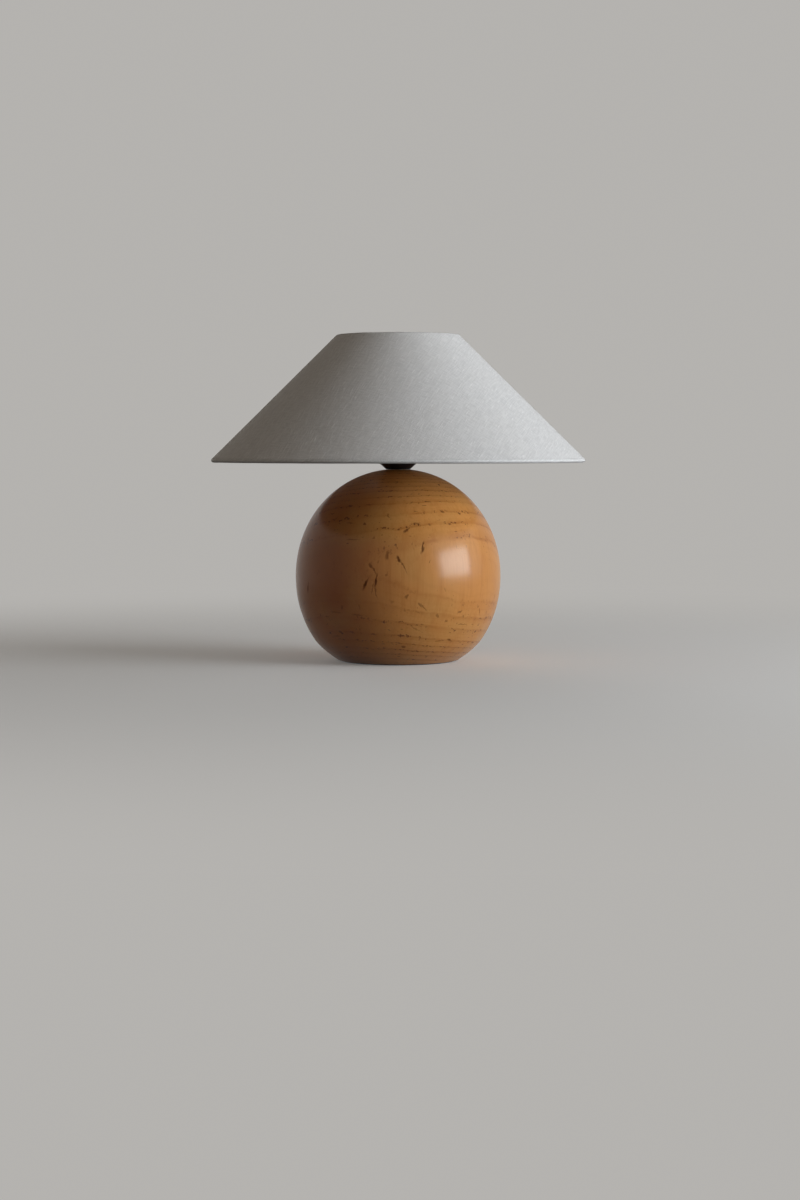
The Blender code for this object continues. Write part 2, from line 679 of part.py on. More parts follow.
def make_block_screw(body):
    head_seat = BLOCK_BOTTOM + GAP
    length = BLOCK_TOP - head_seat + BLOCK_SCREW_BITE
    profile = [
        (0, 0),
        (BLOCK_SCREW_HEAD_RADIUS, 0),
        (BLOCK_SCREW_HEAD_RADIUS, BLOCK_SCREW_HEAD_HEIGHT),
        (BLOCK_SCREW_RADIUS, BLOCK_SCREW_HEAD_HEIGHT),
        (BLOCK_SCREW_RADIUS, length - BLOCK_SCREW_RADIUS),
        (0, length),
    ]
    seat = (0, -BLOCK_DISTANCE, head_seat)
    screw = turned("block_screw", profile, "zinc_plate", seat, steps=HOLE_STEPS)
    slotted(screw, BLOCK_SCREW_HEAD_RADIUS, seat)
    sink = [
        (0, -OVERRUN),
        (BLOCK_SCREW_HEAD_RADIUS + GAP, -OVERRUN),
        (BLOCK_SCREW_HEAD_RADIUS + GAP, BLOCK_SCREW_HEAD_HEIGHT + GAP),
        (BLOCK_SCREW_RADIUS + GAP, BLOCK_SCREW_HEAD_HEIGHT + GAP),
        (BLOCK_SCREW_RADIUS + GAP, BLOCK_HEIGHT + OVERRUN),
        (0, BLOCK_HEIGHT + OVERRUN),
    ]
    cut(body, sink, seat)


def make_holder_cap():
    """The black cap: a flared neck, a straight wall, and a boss round the tube."""
    inner = CAP_RADIUS - CAP_WALL
    flare = math.hypot(CAP_RADIUS - CAP_NECK_RADIUS, CAP_FLARE_HEIGHT)
    out = (CAP_RADIUS - CAP_NECK_RADIUS) / flare
    up = CAP_FLARE_HEIGHT / flare
    start = (CAP_NECK_RADIUS - up * CAP_WALL, out * CAP_WALL)
    floor_radius = start[0] + (CAP_FLOOR - start[1]) * out / up
    wall_height = start[1] + (inner - start[0]) * up / out
    bore = TUBE_RADIUS + GAP
    profile = [
        (bore, 0),
        (CAP_NECK_RADIUS, 0),
        (CAP_RADIUS, CAP_FLARE_HEIGHT),
        (CAP_RADIUS, CAP_HEIGHT - CAP_RIM_ROUND),
        (CAP_RADIUS - CAP_RIM_ROUND, CAP_HEIGHT),
        (inner, CAP_HEIGHT),
        (inner, wall_height),
        (floor_radius, CAP_FLOOR),
        (CAP_BOSS_RADIUS, CAP_FLOOR),
        (CAP_BOSS_RADIUS, CAP_BOSS_HEIGHT),
        (bore, CAP_BOSS_HEIGHT),
    ]
    cap = turned(
        "holder_cap", profile, "black_bakelite", (0, 0, CAP_SEAT), steps=MIDDLE_STEPS
    )
    spindle_hole = cylinder_profile(SPINDLE_RADIUS + GAP, CAP_RADIUS)
    cut(cap, spindle_hole, (SWITCH_FAR, 0, KNOB_AXIS_HEIGHT), TO_RIGHT)
    grub_height = CAP_SEAT + GRUB_HEIGHT
    grub_hole = cylinder_profile(GRUB_RADIUS + GAP, CAP_RADIUS)
    cut(cap, grub_hole, (0, TUBE_RADIUS - GAP, grub_height), TO_BACK)
    grub = turned(
        "cap_grub_screw", cylinder_profile(GRUB_RADIUS, GRUB_LENGTH), "zinc_plate",
        (0, TUBE_RADIUS + GAP, grub_height), TO_BACK, HOLE_STEPS,
    )
    slot = (2 * (GRUB_RADIUS + OVERRUN), 2 * SCREW_SLOT_DEPTH, SCREW_SLOT_WIDTH)
    cut_box(grub, slot, (0, TUBE_RADIUS + GAP + GRUB_LENGTH, grub_height))


def make_switch():
    """The switch body with its rotor, spindle, knob and leaf contact."""
    length = SWITCH_FAR - SWITCH_NEAR
    centre = (SWITCH_NEAR + length / 2, 0, KNOB_AXIS_HEIGHT)
    body = box(
        "switch_body", (length, SWITCH_WIDTH, SWITCH_HEIGHT), centre, "black_bakelite",
        SWITCH_EDGE,
    )
    chamber = ROTOR_INSET + ROTOR_LENGTH + GAP + OVERRUN
    mouth = (SWITCH_NEAR - OVERRUN, 0, KNOB_AXIS_HEIGHT)
    cut(body, cylinder_profile(ROTOR_RADIUS + GAP, chamber), mouth, TO_RIGHT, SMALL_STEPS)
    passage = cylinder_profile(SPINDLE_RADIUS + GAP, length + 2 * OVERRUN)
    cut(body, passage, mouth, TO_RIGHT)
    leaf_height = SWITCH_HEIGHT - 2 * LEAF_END_INSET
    leaf_x = SWITCH_NEAR - GAP - LEAF_THICKNESS / 2
    box(
        "switch_leaf_contact", (LEAF_THICKNESS, LEAF_WIDTH, leaf_height),
        (leaf_x, 0, KNOB_AXIS_HEIGHT), "brass",
    )
    axis = joint_axis("switch_knob_axis", (SWITCH_NEAR, 0, KNOB_AXIS_HEIGHT))
    start = (SWITCH_NEAR + ROTOR_INSET, 0, KNOB_AXIS_HEIGHT)
    bore = SPINDLE_RADIUS + GAP
    rotor = turned(
        "switch_rotor", cylinder_profile(ROTOR_RADIUS, ROTOR_LENGTH, bore), "porcelain",
        start, TO_RIGHT, SMALL_STEPS, (bore + GAP, alternating(ROTOR_NOTCHES, ROTOR_NOTCH_SHARE)),
    )
    knob_start = CAP_RADIUS + KNOB_STAND_OFF
    spindle_length = knob_start + KNOB_BORE_DEPTH - GAP - start[0]
    spindle = turned(
        "switch_spindle", cylinder_profile(SPINDLE_RADIUS, spindle_length), "zinc_plate",
        start, TO_RIGHT, HOLE_STEPS,
    )
    knob_profile = [
        (bore, 0),
        (KNOB_RADIUS, 0),
        (KNOB_RADIUS, KNOB_LENGTH - KNOB_EDGE),
        (KNOB_RADIUS - KNOB_EDGE, KNOB_LENGTH),
        (0, KNOB_LENGTH),
        (0, KNOB_BORE_DEPTH),
        (bore, KNOB_BORE_DEPTH),
    ]
    knob = turned(
        "switch_knob", knob_profile, "black_bakelite", (knob_start, 0, KNOB_AXIS_HEIGHT),
        TO_RIGHT, SMALL_STEPS, (bore + GAP, alternating(KNOB_LOBES, KNOB_LOBE_SHARE)),
    )
    hang(axis, [rotor, spindle, knob])


def thread_ridge(name):
    """The raised screw thread round the sleeve, as one closed strip."""
    low = SLEEVE_SHOULDER + SLEEVE_COLLAR_HEIGHT + THREAD_LOW_MARGIN
    high = SLEEVE_TOP - THREAD_HIGH_MARGIN
    turns = (high - low) / THREAD_PITCH
    steps = round(turns * THREAD_STEPS)
    root = SLEEVE_CORE_RADIUS - THREAD_ROOT_SINK
    shape = bmesh.new()
    sections = []
    for i in range(steps + 1):
        angle = FULL_TURN * i / THREAD_STEPS
        height = low + THREAD_PITCH * i / THREAD_STEPS
        corners = (
            (root, height - THREAD_HALF_BASE),
            (THREAD_CREST_RADIUS, height),
            (root, height + THREAD_HALF_BASE),
        )
        sections.append([shape.verts.new(on_circle(r, angle, z)) for r, z in corners])
    for first, second in zip(sections, sections[1:]):
        for i in range(len(first)):
            shape.faces.new((first[i - 1], first[i], second[i], second[i - 1]))
    shape.faces.new(sections[0])
    shape.faces.new(sections[-1][::-1])
    return add_piece(name, shape, None)


def make_sleeve():
    lip_start = SLEEVE_HEIGHT - SLEEVE_LIP_HEIGHT
    profile = [
        (SLEEVE_INNER_RADIUS, -SLEEVE_SPIGOT_DEPTH),
        (SLEEVE_SPIGOT_RADIUS, -SLEEVE_SPIGOT_DEPTH),
        (SLEEVE_SPIGOT_RADIUS, 0),
        (CAP_RADIUS, 0),
        (CAP_RADIUS, SLEEVE_COLLAR_HEIGHT),
        (SLEEVE_CORE_RADIUS, SLEEVE_COLLAR_HEIGHT),
        (SLEEVE_CORE_RADIUS, SLEEVE_HEIGHT - SLEEVE_RIM_ROUND),
        (SLEEVE_CORE_RADIUS - SLEEVE_RIM_ROUND, SLEEVE_HEIGHT),
        (SLEEVE_LIP_RADIUS, SLEEVE_HEIGHT),
        (SLEEVE_LIP_RADIUS, lip_start),
        (SLEEVE_INNER_RADIUS, lip_start),
    ]
    sleeve = turned(
        "threaded_sleeve", profile, "black_bakelite", (0, 0, SLEEVE_SHOULDER), steps=SMALL_STEPS
    )
    combine(sleeve, thread_ridge("threaded_sleeve_ridge"), "UNION")


def make_contacts():
    """The porcelain block with its two terminal screws, the centre contact and the shell."""
    radius = SLEEVE_INNER_RADIUS - GAP
    edge = PORCELAIN_EDGE
    profile = [
        (0, 0),
        (radius - edge, 0),
        (radius, edge),
        (radius, PORCELAIN_HEIGHT - edge),
        (radius - edge, PORCELAIN_HEIGHT),
        (0, PORCELAIN_HEIGHT),
    ]
    block = turned(
        "contact_block", profile, "porcelain", (0, 0, PORCELAIN_SEAT), steps=SMALL_STEPS
    )
    slot = (TONGUE_THICKNESS + 2 * GAP, TONGUE_WIDTH + 2 * GAP, PORCELAIN_HEIGHT + OVERRUN)
    slot_x = -TONGUE_BACK + TONGUE_THICKNESS / 2
    cut_box(block, slot, (slot_x, 0, PORCELAIN_SEAT + PORCELAIN_HEIGHT / 2))
    head_seat = PORCELAIN_SEAT - GAP - TERMINAL_HEAD_HEIGHT
    screw_length = TERMINAL_HEAD_HEIGHT + TERMINAL_SCREW_DEPTH
    screw_profile = [
        (0, 0),
        (TERMINAL_HEAD_RADIUS, 0),
        (TERMINAL_HEAD_RADIUS, TERMINAL_HEAD_HEIGHT),
        (TERMINAL_SCREW_RADIUS, TERMINAL_HEAD_HEIGHT),
        (TERMINAL_SCREW_RADIUS, screw_length),
        (0, screw_length),
    ]
    hole = cylinder_profile(TERMINAL_SCREW_RADIUS + GAP, screw_length + GAP)
    for number, side in enumerate((-1, 1), 1):
        seat = (-TERMINAL_BACK, side * TERMINAL_SIDE, head_seat)
        turned(
            f"terminal_screw_{number}", screw_profile, "brass", seat, steps=HOLE_STEPS
        )
        cut(block, hole, seat)
    inner = -TONGUE_BACK + TONGUE_THICKNESS
    tail = PORCELAIN_SEAT - TONGUE_TAIL
    tip = PORCELAIN_TOP + TONGUE_RISE
    heel = PORCELAIN_TOP + GAP
    outline = [
        (-TONGUE_BACK, tail),
        (inner, tail),
        (inner, heel),
        (TONGUE_REACH, tip - TONGUE_THICKNESS),
        (TONGUE_REACH, tip),
        (-TONGUE_BACK, heel + TONGUE_THICKNESS),
    ]
    strip("centre_contact", outline, TONGUE_WIDTH, "brass")
    make_screw_shell()


def waves(low, high, root, crest, count):
    """The points up a rolled thread, from root to root with count crests between."""
    rows = 2 * count
    return [
        (crest if i % 2 else root, low + (high - low) * i / rows)
        for i in range(rows + 1)
    ]


def make_screw_shell():
    height = SLEEVE_TOP - SHELL_TOP_MARGIN - PORCELAIN_TOP - GAP
    inside = waves(
        SHELL_FOOT_HEIGHT, height, SHELL_ROOT_RADIUS, SHELL_CREST_RADIUS, SHELL_WAVES
    )
    outside = [(radius + SHELL_WALL, z) for radius, z in inside]
    profile = [
        (SHELL_FLANGE_RADIUS, 0),
        (SHELL_ROOT_RADIUS + SHELL_WALL, 0),
        *outside,
        *inside[::-1],
        (SHELL_ROOT_RADIUS, SHELL_WALL),
        (SHELL_FLANGE_RADIUS, SHELL_WALL),
    ]
    turned("screw_shell", profile, "brass", (0, 0, PORCELAIN_TOP + GAP), steps=SMALL_STEPS)


def globe_outline(radius, neck_radius, top, neck_steps, globe_steps):
    """The bulb's glass from the neck up to the top, as (radius, height) points."""
    centre = top - radius
    tangent = math.radians(NECK_TANGENT_DEGREES)
    meet = (radius * math.sin(tangent), centre - radius * math.cos(tangent))
    reach = (meet[0] - neck_radius) / math.cos(tangent)
    control = (neck_radius, meet[1] - reach * math.sin(tangent))
    neck_top = (neck_radius, BULB_CAP_TOP + GAP)
    outline = [neck_top] + curve_points(neck_top, control, meet, neck_steps)
    for i in range(1, globe_steps + 1):
        angle = tangent + (math.pi - tangent) * i / globe_steps
        distance = radius * math.sin(angle) if i < globe_steps else 0
        outline.append((distance, centre - radius * math.cos(angle)))
    return outline


def make_bulb():
    """An opal bulb, whose pieces lift out of the holder together."""
    top = BULB_SEAT + BULB_LENGTH
    neck_low = BULB_CAP_TOP - NECK_SINK
    outside = globe_outline(GLOBE_RADIUS, NECK_RADIUS, top, NECK_STEPS, GLOBE_STEPS)
    inside = globe_outline(
        GLOBE_RADIUS - GLOBE_WALL, NECK_RADIUS - GLOBE_WALL, top - GLOBE_WALL,
        INNER_NECK_STEPS, INNER_GLOBE_STEPS,
    )
    globe_profile = [
        (NECK_RADIUS - GLOBE_WALL, neck_low), (NECK_RADIUS, neck_low), *outside, *inside[::-1]
    ]
    globe = turned("bulb_globe", globe_profile, "opal_glass", steps=SMALL_STEPS)
    thread = waves(
        BULB_CAP_CONE_HEIGHT, BULB_CAP_HEIGHT - BULB_CAP_COLLAR,
        BULB_CAP_ROOT_RADIUS, BULB_CAP_CREST_RADIUS, BULB_CAP_WAVES,
    )
    cap_profile = [
        (BULB_CAP_FOOT_RADIUS, 0),
        *thread,
        (BULB_CAP_ROOT_RADIUS, BULB_CAP_HEIGHT),
        (BULB_CAP_INNER_RADIUS, BULB_CAP_HEIGHT),
        (BULB_CAP_INNER_RADIUS, BULB_CAP_CONE_HEIGHT),
        (BULB_CAP_FOOT_RADIUS - BULB_CAP_WALL, 0),
    ]
    cap = turned(
        "bulb_cap", cap_profile, "nickel_brass", (0, 0, BULB_CAP_SEAT), steps=SMALL_STEPS
    )
    insulator_radius = BULB_CAP_FOOT_RADIUS - BULB_CAP_WALL - GAP
    insulator_low = BULB_SEAT + TIP_HEIGHT + GAP
    insulator_profile = [
        (0, insulator_low),
        (INSULATOR_TIP_RADIUS, insulator_low),
        (insulator_radius, BULB_CAP_SEAT),
        (insulator_radius, BULB_CAP_SEAT + BULB_CAP_CONE_HEIGHT),
        (0, BULB_CAP_SEAT + BULB_CAP_CONE_HEIGHT),
    ]
    insulator = turned("bulb_insulator", insulator_profile, "black_glass", steps=SMALL_STEPS)
    tip_profile = [
        (0, 0),
        (TIP_RADIUS - TIP_ROUND, 0),
        (TIP_RADIUS, TIP_ROUND),
        (TIP_RADIUS, TIP_HEIGHT),
        (0, TIP_HEIGHT),
    ]
    tip = turned(
        "bulb_tip_contact", tip_profile, "nickel_brass", (0, 0, BULB_SEAT), steps=SMALL_STEPS
    )
    stem_profile = [
        (0, 0),
        (NECK_RADIUS - GLOBE_WALL - GAP, 0),
        (NECK_RADIUS - GLOBE_WALL - GAP, STEM_FLARE_HEIGHT),
        (STEM_RADIUS, STEM_FLARE_HEIGHT),
        (STEM_RADIUS, STEM_LENGTH - STEM_ROUND),
        (STEM_RADIUS - STEM_ROUND, STEM_LENGTH),
        (0, STEM_LENGTH),
    ]
    stem = turned(
        "bulb_stem", stem_profile, "white_enamel", (0, 0, neck_low + STEM_FLARE_SINK),
        steps=SMALL_STEPS,
    )
    hang(joint_axis("bulb_axis", (0, 0, BULB_SEAT)), [globe, cap, insulator, tip, stem])


def ring_profile(radius, bore, height, edge):
    """A ring with its outer edges taken off."""
    return [
        (bore, 0),
        (radius - edge, 0),
        (radius, edge),
        (radius, height - edge),
        (radius - edge, height),
        (bore, height),
    ]


def make_rings(carriage):
    """The two scalloped rings, and the washer between the lower one and the shade."""
    profile = ring_profile(RING_RADIUS, RING_BORE_RADIUS, RING_HEIGHT, RING_EDGE)
    scallops = (RING_BORE_RADIUS + RING_EDGE, alternating(RING_SCALLOPS, RING_SCALLOP_SHARE))
    for name, seat in (("lower", LOWER_RING_SEAT), ("upper", UPPER_RING_SEAT)):
        axis = joint_axis(f"{name}_ring_axis", (0, 0, seat), carriage)
        ring = turned(
            f"{name}_shade_ring", profile, "black_bakelite", (0, 0, seat),
            steps=MIDDLE_STEPS, rim=scallops,
        )
        hang(axis, [ring])
    washer = turned(
        "fitter_washer",
        cylinder_profile(FITTER_WASHER_RADIUS, FITTER_WASHER_THICKNESS, RING_BORE_RADIUS),
        "zinc_plate", (0, 0, FITTER_WASHER_SEAT), steps=MIDDLE_STEPS,
    )
    hang(carriage, [washer])


def cone_point(along, outward):
    """A point of the shade: a distance up the slope from the bottom wire, and outward."""
    return (
        SHADE_BOTTOM_RADIUS - along * SLOPE_IN + outward * SLOPE_UP,
        SHADE_FOOT_HEIGHT + along * SLOPE_UP + outward * SLOPE_IN,
    )


def cone_skin(name, low, high, inner, outer, finish):
    corners = [(low, inner), (low, outer), (high, outer), (high, inner)]
    return turned(name, [cone_point(*corner) for corner in corners], finish)


def wire_ring(name, along, finish):
    radius, height = cone_point(along, 0)
    profile = [
        (radius + WIRE_RADIUS * math.cos(angle), height + WIRE_RADIUS * math.sin(angle))
        for angle in around(WIRE_SIDES)
    ]
    return turned(name, profile, finish)


def hem_roll(name, along, mouth):
    """The cloth rolled round a wire, open towards the cone. mouth is 1 up the slope, -1 down."""
    radius, height = cone_point(along, 0)
    facing = math.atan2(mouth * SLOPE_UP, -mouth * SLOPE_IN)
    half_mouth = math.radians(HEM_MOUTH_DEGREES / 2)
    sweep = FULL_TURN - 2 * half_mouth
    angles = [facing + half_mouth + sweep * i / HEM_STEPS for i in range(HEM_STEPS + 1)]
    outside = [(HEM_RADIUS, angle) for angle in angles]
    inside = [(HEM_INNER_RADIUS, angle) for angle in reversed(angles)]
    profile = [
        (radius + size * math.cos(angle), height + size * math.sin(angle))
        for size, angle in outside + inside
    ]
    return turned(name, profile, "linen")


def spoke_route(angle):
    """A spoke's bends, from under the fitter ring out to the bottom wire."""
    end_height = SHADE_FOOT_HEIGHT - SPOKE_END_DROP
    end = SHADE_BOTTOM_RADIUS - HEM_RADIUS - GAP
    places = (
        (SPOKE_START_DISTANCE, SPOKE_HEIGHT),
        (SPOKE_BEND_DISTANCE, SPOKE_HEIGHT),
        (end - SPOKE_END_RUN, end_height),
        (end, end_height),
    )
    return [on_circle(distance, angle, height) for distance, height in places]


def make_shade(carriage):
    """The frame of two wires, three spokes and a fitter ring, with its two skins and hems."""
    fitter = turned(
        "fitter_ring", cylinder_profile(FITTER_RADIUS, FITTER_THICKNESS, FITTER_BORE_RADIUS),
        "white_enamel", (0, 0, FITTER_SEAT), steps=MIDDLE_STEPS,
    )
    spokes = [
        round_wire(
            f"shade_spoke_{number}", spoke_route(angle), SPOKE_RADIUS, "white_enamel",
            SPOKE_SIDES_RESOLUTION,
        )
        for number, angle in enumerate(
            around(SPOKE_COUNT, math.radians(SPOKE_FIRST_DEGREES)), 1
        )
    ]
    liner_outer = LINEN_STAND_OFF - GAP
    skins = [
        cone_skin(
            "shade_linen", LINEN_END_MARGIN, SLOPE_LENGTH - LINEN_END_MARGIN,
            LINEN_STAND_OFF, HEM_RADIUS, "linen",
        ),
        cone_skin(
            "shade_liner", LINER_END_MARGIN, SLOPE_LENGTH - LINER_END_MARGIN,
            liner_outer - LINER_WALL, liner_outer, "white_film",
        ),
        wire_ring("shade_bottom_wire", 0, "white_enamel"),
        wire_ring("shade_top_wire", SLOPE_LENGTH, "white_enamel"),
        hem_roll("shade_bottom_hem", 0, 1),
        hem_roll("shade_top_hem", SLOPE_LENGTH, -1),
    ]
    axis = joint_axis("shade_axis", (0, 0, FITTER_SEAT), carriage)
    hang(axis, [fitter, *spokes, *skins])


def make_leads():
    """The two leads, from the terminal block down under the tube, up it, and to the screws."""
    barrel_end = -BLOCK_DISTANCE + BLOCK_LENGTH / 2 - BARREL_END_DEPTH
    loop = TUBE_BOTTOM - LEAD_LOOP_DROP
    screw_end = PORCELAIN_SEAT - 2 * GAP - TERMINAL_HEAD_HEIGHT
    apart = LEAD_SPACING / 2
    rise = screw_end - BOSS_TOP
    for name, side in (("brown", 1), ("blue", -1)):
        x = side * BARREL_SPACING / 2
        near = side * apart
        places = [
            (x, barrel_end - LEAD_ENTRY, BLOCK_MIDDLE),
            (x, barrel_end + LEAD_RADIUS, BLOCK_MIDDLE),
            (x, barrel_end + 3 * LEAD_RADIUS, BLOCK_MIDDLE - LEAD_RADIUS),
            (x, barrel_end + 4 * LEAD_RADIUS, TUBE_BOTTOM - LEAD_RADIUS),
            (x, barrel_end + 6 * LEAD_RADIUS, loop + 2 * LEAD_RADIUS),
            ((x + near) / 2, -TUBE_RADIUS, loop),
            (near, -LEAD_RADIUS, loop + 2 * LEAD_RADIUS),
            (near, 0, TUBE_BOTTOM),
        ]
        low = TUBE_BOTTOM + TUBE_RADIUS
        high = BOSS_TOP - TUBE_RADIUS
        for share in (0, 0.5, 1):
            angle = (math.pi if side < 0 else 0) - share * math.pi / 2
            places.append(on_circle(apart, angle, low + share * (high - low)))
        first, *upper = [BOSS_TOP + share * rise for share in LEAD_TOP_SHARES]
        places += [(0, -near, BOSS_TOP), (-apart, -near - side * apart, first)]
        places += [
            (-TERMINAL_BACK, -side * TERMINAL_SIDE, height) for height in (*upper, screw_end)
        ]
        route = smooth_route([Vector(place) for place in places], LEAD_SPAN_STEPS)
        round_wire(f"lead_{name}", route, LEAD_RADIUS, f"{name}_pvc", LEAD_RESOLUTION)


def main():
    clear_scene()
    make_ball()
    make_bottom()
    make_tube()
    make_gland()
    make_terminal_block()
    make_holder_cap()
    make_switch()
    make_sleeve()
    make_contacts()
    make_bulb()
    carriage = joint_axis("shade_height_axis", (0, 0, FITTER_WASHER_SEAT))
    make_rings(carriage)
    make_shade(carriage)
    make_leads()


main()
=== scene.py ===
"""The visible pieces and finishes of a table lamp: a turned wooden ball, a black lamp holder
with a turn switch, a round opal bulb, and a wide cone shade of linen on a wire frame.

Lengths are in metres, apart from those that say millimetres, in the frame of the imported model:
+Z is up along the lamp's axis, -Y is the front, and the lamp stands on Z = 0.
"""

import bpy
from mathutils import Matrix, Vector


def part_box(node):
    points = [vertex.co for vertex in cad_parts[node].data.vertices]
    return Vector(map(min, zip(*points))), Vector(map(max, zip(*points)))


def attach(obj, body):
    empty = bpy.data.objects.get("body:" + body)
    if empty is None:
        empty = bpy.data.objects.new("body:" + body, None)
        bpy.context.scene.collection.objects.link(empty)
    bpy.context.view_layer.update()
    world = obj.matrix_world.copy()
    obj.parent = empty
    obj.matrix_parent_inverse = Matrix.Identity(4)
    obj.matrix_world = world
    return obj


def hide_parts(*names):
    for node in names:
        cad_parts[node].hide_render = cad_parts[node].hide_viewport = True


bl_info = {
    "name": "Wooden Ball Table Lamp",
    "version": (1, 0, 0),
    "blender": (4, 5, 0),
    "location": "View3D > Sidebar > Table Lamp",
    "description": "Builds a table lamp with a turned wooden ball and a linen cone shade",
    "category": "Object",
}

from math import asin, atan2, copysign, cos, hypot, pi, radians, sin, sqrt, tan

import bmesh
import bpy
import numpy as np
from bpy.props import FloatProperty, FloatVectorProperty, IntProperty, PointerProperty
from bpy.types import Operator, Panel, PropertyGroup
from mathutils import Matrix, Vector

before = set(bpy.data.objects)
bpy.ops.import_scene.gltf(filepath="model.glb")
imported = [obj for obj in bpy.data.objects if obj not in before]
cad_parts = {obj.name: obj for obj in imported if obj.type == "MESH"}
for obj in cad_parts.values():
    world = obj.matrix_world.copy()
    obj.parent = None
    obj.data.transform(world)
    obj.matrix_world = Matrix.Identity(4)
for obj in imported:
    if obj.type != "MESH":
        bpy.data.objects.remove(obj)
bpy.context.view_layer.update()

FULL_TURN = 2 * pi
TO_BACK = Matrix.Rotation(-pi / 2, 4, "X")
TO_RIGHT = Matrix.Rotation(pi / 2, 4, "Y")
MERGE_DISTANCE = 1e-7
SHARP_ANGLE = radians(38)


def low(node):
    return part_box(node)[0]


def high(node):
    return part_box(node)[1]


def seat(node):
    """The point on the lamp's axis at the height of a node's underside."""
    return (0, 0, low(node).z)


def middle(node):
    return (low(node) + high(node)) / 2


# Sizes of the wooden ball
BALL_CENTRE = 0.0824
BALL_HALF_HEIGHT = 0.1045
BALL_TOP = high("ball_base").z
BALL_FULLNESS = 1.02
FOOT_RADIUS = 0.0585
FOOT_EDGE = 0.0013
FOOT_HEIGHT = low("ball_base").z
FOOT_ROUND_HEIGHT = 0.0212
FOOT_SPREAD_SHARE = 1.6
RECESS_RADIUS = 0.033
RECESS_DEPTH = 0.034
TUBE_BORE = 0.0053
COVER_REBATE = 0.0403
FELT_REBATE = 0.0563
CHANNEL_RADIUS = 0.006
GLAND_POCKET = 0.0073
GLAND_FACE = 0.0695
GLAND_HEIGHT = 0.017
GAP = 0.0003

# Sizes of the holder
SPINDLE_HOLE = 0.0023
GRUB_HOLE_HEIGHT = 0.0082
THREAD_PITCH = 0.0035
BULB_PITCH = 0.0036
BULB_NECK = 0.0112
GLASS_WALL = 0.0008
ZINC = (0.6, 0.61, 0.6)
BRASS = (0.74, 0.54, 0.25)

# Sizes of the cone, from the bottom wire's centre to the top wire's centre
CONE_LOW = (0.1801, middle("shade_bottom_wire").z)
CONE_HIGH = (0.059, middle("shade_top_wire").z)
CONE_LENGTH = hypot(CONE_LOW[0] - CONE_HIGH[0], CONE_HIGH[1] - CONE_LOW[1])
CONE_IN = (CONE_LOW[0] - CONE_HIGH[0]) / CONE_LENGTH
CONE_UP = (CONE_HIGH[1] - CONE_LOW[1]) / CONE_LENGTH
CONE_APEX = CONE_LOW[1] + CONE_LOW[0] * CONE_UP / CONE_IN
WIRE_RADIUS = 0.00125
HEM_RADIUS = 0.0021
LINEN_WALL = 0.00045
HEM_WALL = 0.00038
LINEN_MARGIN = 0.0006
LINER_MARGIN = 0.0035

# The point that the soft lights face
LAMP_MIDDLE = Vector((0, 0, 0.12))

# The picture's height in pixels, and how many of them the view is shifted to the right and up
PICTURE_HEIGHT = 1200
PICTURE_SHIFT = (1.9, -153)

# Small cracks of the wood, placed one by one: degrees round from the front, then the height, half
# width and half length in millimetres, then the lean in degrees and the strength. The first ones
# are dents too; dents on all of them are more than a finish can hold.
DENTED_FISSURES = 12
FISSURE_DEPTH = 0.003
FISSURES = [
    (14, 114, 0.9, 6.5, 15, 0.9), (0, 103, 1.2, 3.5, -30, 0.9), (3, 96, 0.6, 7, -30, 0.7),
    (-6, 107, 1.3, 4.5, 10, 0.6), (-15, 97, 1.5, 3, -25, 0.6), (-18, 80, 1.1, 6, 25, 0.9),
    (-13, 92, 0.7, 4.5, -30, 0.6), (-12, 83, 1.1, 6.5, 10, 0.9), (-12, 72, 0.6, 6, -15, 0.5),
    (-14, 76, 0.5, 6, 10, 0.5), (5, 130, 0.9, 4.5, 55, 0.8), (12, 136, 0.6, 5, 85, 0.5),
    (-21, 135, 1, 1.5, -70, 0.8), (-14, 123, 1.1, 1.5, -85, 0.5), (5, 68, 0.9, 2.5, 40, 0.6),
    (-3, 63, 1.2, 2, 80, 0.3), (12, 60, 0.9, 2.5, -35, 0.6), (23, 49, 1.1, 2.5, -45, 0.5),
    (29, 44, 1, 1.5, -70, 0.6), (38, 53, 0.8, 2, 55, 0.6), (35, 25, 0.9, 2.5, -80, 0.8),
    (4, 20, 0.9, 2.5, -80, 0.8), (-60, 74, 1.1, 6, 15, 0.5), (96, 101, 1.1, 6.5, 10, 0.8),
    (103, 88, 0.7, 5, -20, 0.6), (148, 90, 1.1, 6, -10, 0.8), (171, 109, 0.8, 8, 5, 0.8),
    (176, 96, 0.6, 5, -25, 0.6), (-148, 78, 1, 7, 15, 0.8), (-104, 95, 0.9, 5.5, -10, 0.7),
    (-37, 152, 0.6, 15, 85, 0.4), (-20, 154, 0.5, 11, 85, 0.5), (-50, 144, 0.6, 16, 90, 0.5),
    (-27, 121, 0.7, 10, 90, 0.5), (-32, 136, 0.6, 13, -90, 0.4), (-37, 52, 0.9, 15, -85, 0.3),
    (-23, 50, 0.7, 13, -85, 0.4), (-43, 28, 0.7, 15, 85, 0.4), (-15, 32, 0.5, 12, -90, 0.5),
    (42, 40, 0.5, 9.5, -90, 0.5), (12, 15, 0.5, 10.5, -90, 0.5), (28, 25, 0.5, 10.5, 90, 0.5),
    (11, 37, 0.5, 8.5, -60, 0.4), (14, 58, 0.7, 5, -45, 0.6), (37, 53, 0.7, 2.5, 75, 0.6),
    (54, 51, 0.6, 3, -20, 0.5),
]


def setting(kind, name, description, default, **details):
    return kind(name=name, description=description, default=default, **details)


def paint(*words):
    return setting(FloatVectorProperty, *words, subtype="COLOR", min=0, max=1)


def length(*words, precision=4):
    return setting(FloatProperty, *words, precision=precision, unit="LENGTH")


